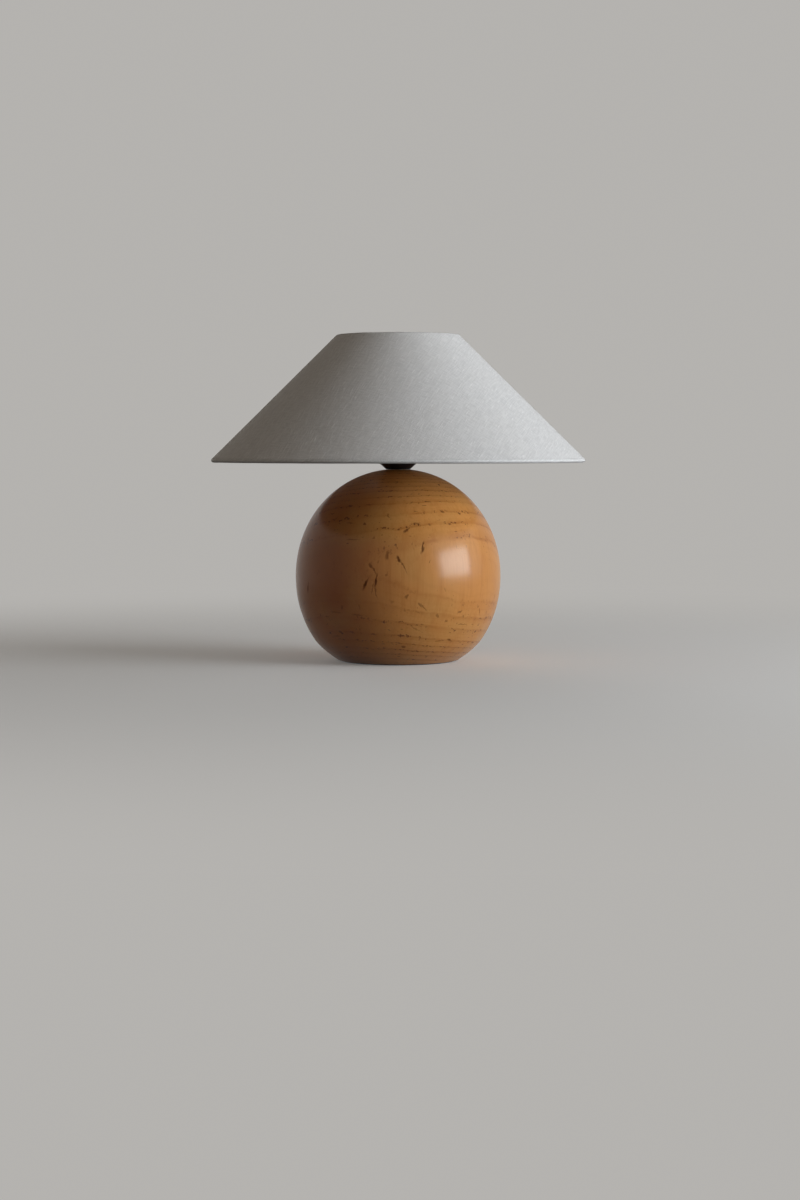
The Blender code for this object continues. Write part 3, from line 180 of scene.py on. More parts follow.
class WoodSettings(PropertyGroup):
    radius: length("Ball radius", "Radius of the ball at its widest", 0.1)
    ring_spacing: length("Ring spacing", "Distance between two growth rings", 0.0058)
    pith_offset: length("Pith offset", "How far the pith lies to the left of the lamp's axis", 0.003)
    pith_lean: setting(
        FloatProperty, "Pith lean", "How far the pith leans back, in metres to a metre", 0.12)
    light: paint("Early wood", "Light part of a growth ring", (0.63, 0.282, 0.074))
    dark: paint("Late wood", "Dark part of a growth ring", (0.4, 0.132, 0.024))
    mark: paint("Cracks", "Inside of the pores and small cracks", (0.085, 0.02, 0.004))


class ShadeSettings(PropertyGroup):
    thread_pitch: length("Thread pitch", "Distance between two threads of the linen", 0.00055,
                         precision=5)
    thread_turn: setting(
        FloatProperty, "Thread angle", "Angle of the threads to the slope at the front",
        radians(25), subtype="ANGLE")
    linen: paint("Linen", "Threads of the linen", (0.776, 0.773, 0.772))
    liner: paint("Liner", "Film inside the shade", (0.78, 0.775, 0.75))
    enamel: paint("Frame", "Enamel of the wire frame", (0.76, 0.755, 0.73))


class HolderSettings(PropertyGroup):
    plastic: paint("Black plastic", "Holder, switch knob and shade rings", (0.013, 0.013, 0.014))
    ring_lobes: setting(IntProperty, "Ring lobes", "Number of lobes round each shade ring", 18, min=3)
    knob_lobes: setting(IntProperty, "Knob lobes", "Number of lobes round the switch knob", 12, min=3)


class BulbSettings(PropertyGroup):
    radius: length("Globe radius", "Radius of the bulb's round glass", 0.0225)
    glass: paint("Opal glass", "White glass of the bulb", (0.86, 0.86, 0.84))


class FootSettings(PropertyGroup):
    felt: paint("Felt", "Felt ring under the ball", (0.045, 0.06, 0.047))
    board: paint("Hardboard", "Cover under the ball", (0.17, 0.105, 0.06))


class StageSettings(PropertyGroup):
    floor: paint("Floor", "Lit floor as the eye sees it", (0.7, 0.7, 0.695))
    bounce: paint("Floor bounce", "Light that the floor gives back", (0.27, 0.265, 0.255))
    glow: paint("Floor lift", "How much paler the floor is seen than it is lit", (0.095, 0.095, 0.094))
    backdrop: paint("Backdrop", "Backdrop as the eye sees it", (0.46, 0.448, 0.43))
    key_power: setting(FloatProperty, "Key light", "Watts of the soft light on the right", 51, min=0)
    back_power: setting(FloatProperty, "Back light", "Watts of the soft light behind", 22, min=0)
    fill: setting(FloatProperty, "Fill", "Strength of the light from all sides", 0.15, min=0)
    lens: setting(FloatProperty, "Lens", "Focal length in millimetres", 70)
    distance: length("Camera distance", "From the lamp's axis to the camera", 2.281)
    eye_height: length("Camera height", "Height of the camera over the lamp's foot", 0.2082)


def arithmetic(operation):
    """A method that joins a value with another value or a number."""
    def method(self, other):
        return self.graph.maths(operation, self, other)
    return method


class Value:
    """A socket of a finish's node tree, so that a mask can be written as 1 - mask * 0.5."""

    def __init__(self, graph, socket):
        self.graph = graph
        self.socket = socket

    __add__ = __radd__ = arithmetic("ADD")
    __sub__ = arithmetic("SUBTRACT")
    __mul__ = __rmul__ = arithmetic("MULTIPLY")
    __truediv__ = arithmetic("DIVIDE")
    __pow__ = arithmetic("POWER")

    def __rsub__(self, other):
        return self.graph.maths("SUBTRACT", other, self)

    def smooth(self, start, end):
        """0 below start, 1 above end, and an even turn between them."""
        return self.graph.node(
            "ShaderNodeMapRange", {"interpolation_type": "SMOOTHSTEP"},
            {"Value": self, "From Min": start, "From Max": end},
        )


class Graph:
    """The node tree of one finish; place is where a point is, in metres, on the piece at rest."""

    def __init__(self, name):
        self.material = bpy.data.materials.new(name)
        self.material.use_nodes = True
        self.tree = self.material.node_tree
        self.shader = self.tree.nodes["Principled BSDF"]
        self.place = self.node("ShaderNodeTexCoord", {}, {}, "Object")

    def feed(self, socket, value):
        if isinstance(value, Value):
            self.tree.links.new(value.socket, socket)
        elif hasattr(value, "__len__") and len(value) < len(socket.default_value):
            socket.default_value = (*value, 1)
        else:
            socket.default_value = value

    def node(self, kind, settings, inputs, output=0):
        """Adds a node with these settings and inputs, and gives the value of one output."""
        node = self.tree.nodes.new(kind)
        for name, value in settings.items():
            setattr(node, name, value)
        for name, value in inputs.items():
            self.feed(node.inputs[name], value)
        return Value(self, node.outputs[output])

    def maths(self, operation, *values):
        return self.node("ShaderNodeMath", {"operation": operation}, dict(enumerate(values)))

    def vector(self, operation, *values, output=0):
        return self.node(
            "ShaderNodeVectorMath", {"operation": operation}, dict(enumerate(values)), output
        )

    def mix(self, share, first, second):
        return self.node("ShaderNodeMix", {"data_type": "RGBA"}, {0: share, 6: first, 7: second}, 2)

    def split(self, vector):
        first = self.node("ShaderNodeSeparateXYZ", {}, {0: vector})
        return [Value(self, output) for output in first.socket.node.outputs]

    def join(self, x, y, z=0):
        return self.node("ShaderNodeCombineXYZ", {}, {0: x, 1: y, 2: z})

    def noise(self, scale, detail=2, stretch=None, place=None, output="Fac"):
        """Noise of scale bumps to a metre, more or fewer along the axes of stretch."""
        place = place or self.place
        if stretch:
            place = self.vector("MULTIPLY", place, stretch)
        inputs = {"Vector": place, "Scale": scale, "Detail": detail}
        return self.node("ShaderNodeTexNoise", {}, inputs, output)

    def bend(self, bent, scale, reach, stretch=None):
        """Shifts the places in bent at random, by at most about half of reach."""
        noise = self.noise(scale, 2, stretch, output="Color")
        centred = self.vector("SUBTRACT", noise, (0.5, 0.5, 0.5))
        return self.vector("ADD", bent, self.vector("MULTIPLY", centred, (reach, reach, reach)))

    def finish(self, inputs):
        for name, value in inputs.items():
            self.feed(self.shader.inputs[name], value)
        return self.material

    def surface(self, colour, roughness, height, depth, others=None):
        """A finish whose surface is bumped by a height times a depth in metres."""
        normal = self.node("ShaderNodeBump", {}, {"Distance": depth, "Height": height})
        inputs = {"Base Color": colour, "Roughness": roughness, "Normal": normal}
        return self.finish({**inputs, **(others or {})})


def tint(base, *shares):
    """A colour times one share, or times a share each for red, green and blue."""
    shares = shares if len(shares) == 3 else shares * 3
    return tuple(min(1, value * share) for value, share in zip(base, shares))


def wood_finish(look):
    """Lacquered wood turned with the trunk upright, so the growth rings lie round the ball."""
    g = Graph("lacquered_wood")
    bent = g.bend(g.place, 6, 0.01, (1, 1, 0.5))
    bent = g.bend(bent, 34, 0.0024, (1, 1, 0.8))
    bent = g.bend(bent, 190, 0.0007)
    x, y, z = g.split(bent)
    belt = g.maths("ABSOLUTE", z - BALL_CENTRE).smooth(0.02, 0.04)
    patches = g.noise(17, 3).smooth(0.34, 0.7)
    phase, shadow = growth_rings(g, (x, y, z), belt, patches, look)
    colour = g.mix(shadow, look.light, look.dark)
    warm = g.noise(11, 2, (1, 1, 0.7)).smooth(0.4, 0.68)
    # Painted shade: the wood turns darker and redder towards the left side (-X); the random warm
    # patches mixed in with it are the wood's own tone.
    left = (x * -1).smooth(-0.025, 0.06)
    colour = g.mix(warm * 0.22 + left * 0.68, colour, tint(look.light, 0.56, 0.33, 0.18))
    golden = g.noise(15, 2).smooth(0.5, 0.7)
    colour = g.mix(golden * 0.45, colour, tint(look.light, 0.86, 1, 1.1))
    streaks = g.noise(190, 2, (1, 1, 0.08)).smooth(0.45, 0.72)
    fibres = g.noise(700, 2, (1, 1, 0.05))
    colour = g.mix(streaks * 0.22 + fibres.smooth(0.35, 0.75) * 0.14, colour, look.dark)
    dashes = pore_marks(g, phase, belt)
    cracks = g.noise(350, 1, (1, 1, 0.5)).smooth(0.72, 0.77) * patches * 0.6
    cracks, dents = fissure_marks(g, cracks, look)
    colour = g.mix(dashes * 0.78, colour, look.mark)
    colour = g.mix(cracks * 0.92, colour, look.mark)
    swell = g.noise(45, 2)
    height = fibres * 0.08 + swell * 0.8 - dents - dashes * 0.5
    haze = g.noise(60, 3)
    return g.surface(colour, 0.42 + 0.12 * haze + 0.4 * cracks, height, 0.0002, {
        "Specular IOR Level": 0.1,
        "Coat Weight": 0.66 - 0.66 * cracks,
        "Coat Roughness": 0.2,
        "Coat IOR": 1.45,
    })


def growth_rings(g, bent, belt, patches, look):
    """The phase of the growth rings, and how dark their late wood is."""
    x, y, z = bent
    across = x + look.pith_offset
    deep = y - (z - BALL_CENTRE) * look.pith_lean
    radius = (across * across + deep * deep) ** 0.5
    rings = radius / look.ring_spacing
    uneven = g.noise(70, 1, place=g.join(radius, 0))
    phase = g.maths("FRACT", rings + uneven * 1.1)
    figure = 0.45 + 0.55 * belt
    late = phase.smooth(0.3, 0.8) * (1 - phase.smooth(0.84, 1.0)) * figure
    line = phase.smooth(0.72, 0.82) * (1 - phase.smooth(0.84, 0.94)) * figure
    between = g.maths("FRACT", rings * 3 + uneven * 2)
    faint = between.smooth(0.5, 0.8) * (1 - between.smooth(0.82, 1.0))
    strong = g.noise(60, 1, place=g.join(radius, 0)).smooth(0.38, 0.62)
    worn = g.noise(42, 2, (1, 1, 0.6)).smooth(0.4, 0.64)
    shadow = late * (0.12 + 0.22 * patches + 0.14 * strong) + line * worn * 0.34
    return phase, shadow + faint * patches * 0.16


def pore_marks(g, phase, belt):
    """Short pores in rows along the rings, and some strays, all fewer round the middle."""
    rough = g.maths("FRACT", phase + (g.noise(240, 1) - 0.5) * 0.7 + 0.5)
    row = rough.smooth(0.2, 0.27) * (1 - rough.smooth(0.34, 0.42))
    pores = g.noise(360, 2, (1, 1, 0.8)).smooth(0.52, 0.61)
    gate = g.noise(36, 2).smooth(0.4, 0.52)
    rows = row * pores * gate * (0.15 + 0.85 * belt)
    strays = g.noise(430, 1, (0.5, 0.5, 1.5)).smooth(0.69, 0.75)
    strays = strays * belt * g.noise(38, 2).smooth(0.42, 0.56)
    return g.maths("MAXIMUM", rows, strays)


def fissure_marks(g, cracks, look):
    """Adds the placed cracks to the scattered ones, and gives them all, then those with dents."""
    ragged = g.bend(g.place, 620, 0.0024, (1, 1, 0.5))
    ragged = g.bend(ragged, 150, 0.0036)
    for number, (angle, *sizes, lean, strength) in enumerate(FISSURES):
        height, half_width, half_length = (size / 1000 for size in sizes)
        turn = radians(angle)
        rise = (height - BALL_CENTRE) / BALL_HALF_HEIGHT
        run = sqrt(1 - rise * rise)
        slope = atan2(rise * look.radius, run * BALL_HALF_HEIGHT)
        reach = run * look.radius
        a, b, c = g.split(g.node(
            "ShaderNodeMapping", {"vector_type": "TEXTURE"},
            {
                "Vector": ragged,
                "Location": (reach * sin(turn), -reach * cos(turn), height),
                "Rotation": (-slope, radians(lean), turn),
                "Scale": (half_width * 1.15, FISSURE_DEPTH, half_length * 1.2),
            },
        ))
        taper = copysign(0.45, lean)
        distance = g.vector("LENGTH", g.join(a * (0.85 + taper * c), b, c), output="Value")
        cracks = g.maths("MAXIMUM", cracks, (1 - distance.smooth(0.4, 1.1)) * strength)
        if number < DENTED_FISSURES:
            dents = cracks
    return cracks, dents


def weave(g, along, across, look):
    """Tone, pale slubs, dark slubs and cells of plain-woven linen, across the flat cloth."""
    rate = pi / look.thread_pitch
    cells = g.maths("SINE", along * rate) * g.maths("SINE", across * rate)
    flat = g.join(along, across)
    warp = g.noise(1, 2, (64, 860, 1), flat)
    weft = g.noise(1, 2, (860, 100, 1), flat)
    pale = g.maths("MAXIMUM", g.noise(1, 1, (90, 700, 1), flat).smooth(0.6, 0.72),
                   g.noise(1, 1, (700, 140, 1), flat).smooth(0.66, 0.78))
    dark = g.noise(1, 2, (100, 640, 1), flat).smooth(0.42, 0.26)
    return (warp + weft) * 0.5, pale, dark, cells


def linen_finish(g, look, along, across, painted_shade=None):
    """Linen with slubs, and with painted shade that darkens the side where the last argument is near
    1.
    """
    tone, pale, dark, cells = weave(g, along, across, look)
    base = look.linen
    deep = tint(base, 0.83)
    colour = g.mix(tone.smooth(0.36, 0.64), deep, base)
    colour = g.mix(pale * 0.7, colour, tint(base, 1.15))
    colour = g.mix(dark * 0.3 + cells.smooth(-0.4, 1.0) * 0.08, colour, deep)
    clouds = g.noise(22, 3).smooth(0.35, 0.7)
    colour = g.mix(clouds * 0.1, colour, tint(base, 0.93, 0.91, 0.87))
    # Painted shade: the cloth is darkened where the mask is near 1.
    if painted_shade:
        colour = g.mix(painted_shade * 0.55, colour, tint(base, 0.45))
    height = cells * 0.3 + tone + pale * 0.8
    return g.surface(colour, 0.86 + 0.08 * tone, height, 0.00013, {
        "Sheen Weight": 0.1,
        "Sheen Roughness": 0.5,
        "Specular IOR Level": 0.3,
    })


def cone_linen(look):
    """Linen cut flat and wrapped round the cone, so its threads turn as they go round."""
    g = Graph("shade_linen")
    x, y, z = g.split(g.place)
    azimuth = g.maths("ARCTAN2", x, y * -1)
    below = z - CONE_APEX
    slant = (x * x + y * y + below * below) ** 0.5
    turn = azimuth * CONE_IN + look.thread_turn
    along = slant * g.maths("COSINE", turn)
    across = slant * g.maths("SINE", turn)
    return linen_finish(g, look, along, across)


def strip_linen(name, look, radius, height):
    """Linen of a narrow strip that is rolled round a wire, with painted shade darkening its underside.
    """
    g = Graph(name)
    x, y, z = g.split(g.place)
    around = g.maths("ARCTAN2", x, y * -1) * radius
    out = (x * x + y * y) ** 0.5 - radius
    tilt = g.maths("ARCTAN2", z - height, out)
    roll = tilt * HEM_RADIUS
    turn = look.thread_turn
    along = around * cos(turn) + roll * sin(turn)
    across = roll * cos(turn) - around * sin(turn)
    # The underside of the roll gets painted shade.
    return linen_finish(g, look, along, across, (tilt * -1).smooth(-0.1, 0.7))


def mottled(name, colour, roughness, swing, scale, depth=0.00002):
    """A finish whose colour, gloss and surface vary a little, with broad clouds and fine grain."""
    g = Graph(name)
    broad = g.noise(scale * 0.12, 3)
    fine = g.noise(scale, 3)
    share = fine.smooth(0.3, 0.7) * 0.6 + broad * 0.4
    colour = g.mix(share, tint(colour, 1 - swing), tint(colour, 1 + swing))
    return g.surface(colour, roughness * (0.8 + 0.25 * broad + 0.2 * fine), fine, depth)


def black_plastic(look):
    """The moulded plastic that the holder, knob, rings and bushing share."""
    if "black_plastic" in bpy.data.materials:
        return bpy.data.materials["black_plastic"]
    g = Graph("black_plastic")
    flow = g.noise(90, 4, (1, 1, 0.3))
    grain = g.noise(1500, 2)
    dust = g.noise(2600, 1).smooth(0.7, 0.8) * g.noise(60, 2).smooth(0.4, 0.7)
    scratch = g.noise(300, 1, (0.06, 1, 1)).smooth(0.7, 0.74)
    colour = g.mix(flow.smooth(0.3, 0.7), look.plastic, tint(look.plastic, 1.7))
    colour = g.mix(dust * 0.35 + scratch * 0.05, colour, (0.16, 0.15, 0.14))
    roughness = 0.27 + 0.12 * flow + 0.3 * dust + 0.1 * scratch
    return g.surface(colour, roughness, grain * 0.4 - scratch, 0.00001, {"Specular IOR Level": 0.4})


def felt_finish(look):
    """Green felt of matted tufts with paler hairs."""
    g = Graph("green_felt")
    tufts = g.noise(900, 4)
    hairs = g.noise(2200, 2, (1, 0.15, 1), g.bend(g.place, 300, 0.002))
    colour = g.mix(tufts.smooth(0.3, 0.7), tint(look.felt, 0.6), look.felt)
    colour = g.mix(hairs.smooth(0.6, 0.8) * 0.6, colour, tint(look.felt, 1.9))
    return g.surface(colour, 0.9 + 0.08 * tufts, tufts + hairs * 0.5, 0.0005,
                     {"Sheen Weight": 0.35, "Specular IOR Level": 0.15})


def board_finish(look):
    """Pressed hardboard with short fibres lying every way."""
    g = Graph("hardboard")
    bent = g.bend(g.place, 120, 0.01)
    first = g.noise(700, 2, (1, 0.12, 1), bent).smooth(0.45, 0.75)
    second = g.noise(700, 2, (0.12, 1, 1), bent).smooth(0.45, 0.75)
    colour = g.mix(first * 0.6, look.board, tint(look.board, 0.55))
    colour = g.mix(second * 0.5, colour, tint(look.board, 1.5, 1.45, 1.3))
    return g.surface(colour, 0.62 + 0.2 * second, first - second, 0.00012)


def glass_finish(look):
    """White glass that lets a little light in, with slow ripples."""
    g = Graph("opal_glass")
    ripple = g.noise(70, 2)
    colour = g.mix(ripple.smooth(0.3, 0.7), tint(look.glass, 0.965), look.glass)
    return g.surface(colour, 0.13 + 0.1 * ripple, ripple, 0.00004, {
        "Subsurface Weight": 0.25,
        "Subsurface Radius": (0.004, 0.004, 0.004),
        "Subsurface Scale": 1.0,
    })


def metal(name, colour, roughness, stretch):
    """A metal with fine turning marks along one direction and duller, darker patches."""
    g = Graph(name)
    marks = g.noise(1100, 3, stretch)
    stain = g.noise(130, 4).smooth(0.45, 0.75)
    colour = g.mix(stain * 0.45 + marks * 0.2, colour, tint(colour, 0.72))
    return g.surface(colour, roughness + 0.16 * stain + 0.1 * marks, marks, 0.000012,
                     {"Metallic": 1 - 0.12 * stain})


def mm(*corners):
    """Corners of an outline, (radius, height) or (radius, height, rounding) in millimetres."""
    return [tuple(value / 1000 for value in corner) for corner in corners]


def eased(outline, steps=3):
    """Rounds each corner of an outline that has a third value, over that length."""
    corners = [Vector(corner[:2]) for corner in outline]
    points = []
    for i, here in enumerate(corners):
        if len(outline[i]) < 3:
            points.append(tuple(here))
            continue
        start, end = (here + (other - here).normalized() * outline[i][2]
                      for other in (corners[i - 1], corners[(i + 1) % len(corners)]))
        points.extend(curve(start, here, end, steps))
    return points


def curve(start, control, end, steps):
    """Points from start to end on a curve that leans towards control."""
    points = []
    for t in np.linspace(0, 1, steps + 1):
        points.append(tuple((1 - t) ** 2 * a + 2 * t * (1 - t) * b + t * t * c
                            for a, b, c in zip(start, control, end)))
    return points


def skin(rows, columns, closed=False):
    """Faces between rows of points that each go round, and if closed, back to the first row."""
    faces = []
    for i in range(-1 if closed else 0, rows - 1):
        first, second = i % rows * columns, (i + 1) * columns
        for k in range(columns):
            n = (k + 1) % columns
            faces.append([first + k, first + n, second + n, second + k])
    return faces


def lathe(outline, steps, rim=None, closed=True):
    """Spins an outline of (radius, height) round Z, as points and faces.

    rim(radius, height, angles) gives the radius of a row at each angle.
    """
    angles = np.arange(steps) * FULL_TURN / steps
    rows = []
    for radius, height in outline:
        radii = rim(radius, height, angles) if rim else radius
        rows.append(np.stack([radii * np.cos(angles), radii * np.sin(angles),
                              np.full(steps, height)], axis=1))
    return np.concatenate(rows), skin(len(outline), steps, closed)


def sweep(route, radius, sides=16):
    """A round wire along a route of (x, z)."""
    route = [Vector((x, 0, z)) for x, z in route]
    side = Vector((0, 1, 0))
    places = [(route[0], 0.001), *[(point, 1.0) for point in route], (route[-1], 0.001)]
    points = []
    for i, (point, share) in enumerate(places):
        before = places[max(i - 1, 1)][0]
        after = places[min(i + 1, len(places) - 2)][0]
        normal = side.cross((after - before).normalized())
        for angle in np.arange(sides) * FULL_TURN / sides:
            offset = side * cos(angle) + normal * sin(angle)
            points.append(point + offset * radius * share)
    return points, skin(len(places), sides)


def add_object(name, data):
    item = bpy.data.objects.new(name, data)
    bpy.context.scene.collection.objects.link(item)
    return item


def shade_edges(mesh):
    mesh.shade_smooth()
    mesh.set_sharp_from_angle(angle=SHARP_ANGLE)


def make_piece(name, shape, finish, turn=None, place=(0, 0, 0)):
    """Makes a mesh object of points and faces, turned and then moved into place."""
    points, faces = shape
    mesh = bpy.data.meshes.new(name)
    mesh.from_pydata(points, [], faces)
    work = bmesh.new()
    work.from_mesh(mesh)
    bmesh.ops.remove_doubles(work, verts=work.verts, dist=MERGE_DISTANCE)
    bmesh.ops.recalc_face_normals(work, faces=work.faces)
    if turn:
        bmesh.ops.transform(work, matrix=turn, verts=work.verts)
    bmesh.ops.translate(work, vec=place, verts=work.verts)
    work.to_mesh(mesh)
    work.free()
    if finish:
        mesh.materials.append(finish)
    shade_edges(mesh)
    return add_object(name, mesh)


def cut(piece, shape, turn, place):
    """Takes a closed shape out of the piece for good."""
    tool = make_piece(piece.name + "_tool", shape, None, turn, place)
    modifier = piece.modifiers.new("cut", "BOOLEAN")
    modifier.operation = "DIFFERENCE"
    modifier.solver = "EXACT"
    modifier.object = tool
    graph = bpy.context.evaluated_depsgraph_get()
    mesh = bpy.data.meshes.new_from_object(piece.evaluated_get(graph))
    piece.modifiers.remove(modifier)
    piece.data = mesh
    bpy.data.objects.remove(tool)
    shade_edges(mesh)


def drill(piece, radius, depth, steps, turn, place):
    """Drills a round hole."""
    cut(piece, lathe([(0, 0), (radius, 0), (radius, depth), (0, depth)], steps), turn, place)


def settle(piece, body, slot, *nodes):
    """Fixes the piece to a body, and lets it stand for the nodes that it replaces."""
    piece.modifiers.new("even_shading", "WEIGHTED_NORMAL").keep_sharp = True
    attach(piece, body)
    if nodes:
        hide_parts(*nodes)
    return piece


def turned(name, outline, finish, place, body, slot, *nodes, steps, rim=None, turn=None):
    """A piece spun from an outline, put in its place and settled."""
    piece = make_piece(name, lathe(outline, steps, rim), finish, turn, place)
    return settle(piece, body, slot, *nodes)


def repaint(finish, *names):
    """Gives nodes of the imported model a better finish."""
    for name in names:
        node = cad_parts[name]
        node.data.materials.clear()
        node.data.materials.append(finish)


def lobes(count, depth, limit):
    """A rim that swells and shrinks count times round, past a distance from the axis."""
    def rim(radius, height, angles):
        if radius < limit:
            return radius
        return radius * (1 - depth * (0.5 - 0.5 * np.cos(count * angles)) ** 0.8)
    return rim


def thread(form, pitch, depth, start, end, fade, inner=0.0, outer=1.0):
    """A rim that carries a right-hand thread between two heights, and fades in and out."""
    def rim(radius, height, angles):
        if not (start < height < end and inner < radius < outer):
            return radius
        share = min(1, (height - start) / fade, (end - height) / fade)
        return radius + depth * share * form((height / pitch - angles / FULL_TURN) % 1)
    return rim


def ridge(phase):
    """A thread with straight flanks and a sharp crest."""
    return np.clip(1 - np.abs(phase - 0.5) / 0.36, 0, 1)


def wave(phase):
    """The round thread of a bulb's cap."""
    return 0.5 - 0.5 * np.cos(FULL_TURN * phase)


def ladder(radius, start, end, rows):
    """Evenly spaced points up a wall."""
    return [(radius, height) for height in np.linspace(start, end, rows + 1)]


def ball_outline(radius, steps=96):
    """The ball's outside from the foot up: a rounded foot, then a full, tall ellipse."""
    blend_height = FOOT_HEIGHT + FOOT_ROUND_HEIGHT
    depth = (BALL_CENTRE - blend_height) / BALL_HALF_HEIGHT
    start = -asin(depth ** BALL_FULLNESS)
    end = asin(((BALL_TOP - BALL_CENTRE) / BALL_HALF_HEIGHT) ** BALL_FULLNESS)
    side = []
    for angle in np.linspace(start, end, steps + 1):
        rise = copysign(abs(sin(angle)) ** (1 / BALL_FULLNESS), angle)
        across = cos(angle) ** (1 / BALL_FULLNESS)
        side.append((radius * across, BALL_CENTRE + BALL_HALF_HEIGHT * rise))
    blend = side[0]
    lean = radius / BALL_HALF_HEIGHT * (depth * radius / blend[0]) ** (2 * BALL_FULLNESS - 1)
    spread = FOOT_RADIUS - blend[0] + FOOT_SPREAD_SHARE * FOOT_ROUND_HEIGHT
    drop = spread / (FOOT_SPREAD_SHARE - lean)
    foot = curve((FOOT_RADIUS, FOOT_HEIGHT), (blend[0] - lean * drop, blend[1] - drop), blend, 20)
    rise = FOOT_EDGE / hypot(FOOT_SPREAD_SHARE, 1)
    edge = curve((FOOT_RADIUS - FOOT_EDGE, FOOT_HEIGHT), foot[0],
                 (FOOT_RADIUS + FOOT_SPREAD_SHARE * rise, FOOT_HEIGHT + rise), 4)
    return [*edge, *[point for point in foot if point[1] > edge[-1][1] + 0.0003], *side[1:]]


def make_ball(look):
    outside = ball_outline(look.radius)
    top = outside[-1]
    felt = high("felt_ring").z + GAP
    cover = high("bottom_cover").z + GAP
    inside = eased([
        (top[0] - 0.0004, top[1] + 0.0001), (TUBE_BORE, top[1], 0.0006),
        (TUBE_BORE, RECESS_DEPTH, 0.0005), (RECESS_RADIUS, RECESS_DEPTH, 0.002),
        (RECESS_RADIUS, cover, 0.0004), (COVER_REBATE, cover), (COVER_REBATE, felt, 0.0003),
        (FELT_REBATE, felt), (FELT_REBATE, FOOT_HEIGHT, 0.0003),
    ])
    ball = make_piece("wooden_ball", lathe(outside + inside, 192), wood_finish(look))
    drill(ball, CHANNEL_RADIUS, 0.1, 48, TO_BACK, (0, RECESS_RADIUS - 0.002, GLAND_HEIGHT))
    drill(ball, GLAND_POCKET, 0.1, 64, TO_BACK, (0, GLAND_FACE, GLAND_HEIGHT))
    settle(ball, "base", "lacquered_pine", "ball_base")


def make_foot(look):
    """The felt ring, the cover and its slotted screws."""
    thick = high("felt_ring").z
    outline = [(0.056, 0, 0.0007), (0.056, thick, 0.0002), (0.042, thick, 0.0002), (0.042, 0, 0.0007)]
    points, faces = lathe(eased(outline, 4), 256)
    random = np.random.default_rng(7)
    fuzz = random.normal(0, 0.00009, (len(points), 3))
    fuzz[:, 2] = np.where(points[:, 2] < 0.0004, np.abs(fuzz[:, 2]), fuzz[:, 2])
    felt = make_piece("felt_foot", (points + fuzz, faces), felt_finish(look))
    settle(felt, "base", "green_felt", "felt_ring")
    under, over = low("bottom_cover").z, high("bottom_cover").z
    disc = eased([(0, under), (0.04, under, 0.0003), (0.04, over, 0.0003), (0, over)])
    cover = make_piece("cover_board", lathe(disc, 160), board_finish(look))
    brass = metal("screw_brass", (0.72, 0.52, 0.24), 0.24, (1, 1, 0.05))
    sink = mm((0, -2), (3.2, -2), (3.2, 0.1), (1.8, 1.3), (1.8, 4), (0, 4))
    head = eased(mm((0, 0.04), (2.9, 0.04, 0.3), (1.5, 1.2), (1.5, 8.5), (0, 10)))
    for number in (1, 2, 3):
        node = f"cover_screw_{number}"
        place = (*middle(node).xy, under)
        cut(cover, lathe(sink, 40), None, place)
        screw = make_piece(f"cover_screw_head_{number}", lathe(head, 48), brass, None, place)
        turn = Matrix.Rotation(radians(25 + 50 * number), 4, "Z")
        cut(screw, slot_bar(0.008, 0.0007, 0.0014), turn, place)
        settle(screw, "base", "brass", node)
    settle(cover, "base", "hardboard", "bottom_cover")


def slot_bar(*size):
    """Points and faces of the bar that cuts a screw's slot."""
    x, y, z = (value / 2 for value in size)
    points = [(i * x, j * y, k * z) for i in (-1, 1) for j in (-1, 1) for k in (-1, 1)]
    faces = [(0, 1, 3, 2), (4, 6, 7, 5), (0, 4, 5, 1), (2, 3, 7, 6), (0, 2, 6, 4), (1, 5, 7, 3)]
    return points, faces


def make_gland(plastic):
    outline = mm((4.2, -14, 0.4), (5.7, -14, 0.3), (5.7, 0), (7, 0, 0.2), (7, 2.2, 0.9),
                 (4.2, 2.2, 1.2))
    turned("cord_bushing", eased(outline, 5), plastic, (0, GLAND_FACE + GAP, GLAND_HEIGHT),
           "base", "black_bakelite", "cord_gland", steps=72, turn=TO_BACK)


def make_inside(plastic):
    """Better finishes for the pieces inside the ball and the holder."""
    repaint(metal("zinc_plate", ZINC, 0.28, (1, 1, 0.06)),
            "lamp_tube", "tube_washer", "lock_washer", "hex_nut", "block_screw", "cap_grub_screw",
            "switch_spindle", *[f"clamp_screw_{number}" for number in (1, 2, 3, 4)])
    repaint(metal("contact_brass", BRASS, 0.24, (0.06, 1, 1)),
            "terminal_barrel_left", "terminal_barrel_right", "terminal_screw_1",
            "terminal_screw_2", "centre_contact", "switch_leaf_contact")
    repaint(plastic, "switch_body")
    repaint(mottled("grey_polyamide", (0.55, 0.55, 0.53), 0.5, 0.05, 900), "terminal_block")
    repaint(mottled("brown_wire", (0.17, 0.065, 0.03), 0.42, 0.1, 700), "lead_brown")
    repaint(mottled("blue_wire", (0.035, 0.11, 0.42), 0.42, 0.1, 700), "lead_blue")
    repaint(mottled("porcelain", (0.8, 0.79, 0.76), 0.24, 0.04, 260, 0.00003),
            "contact_block", "switch_rotor")


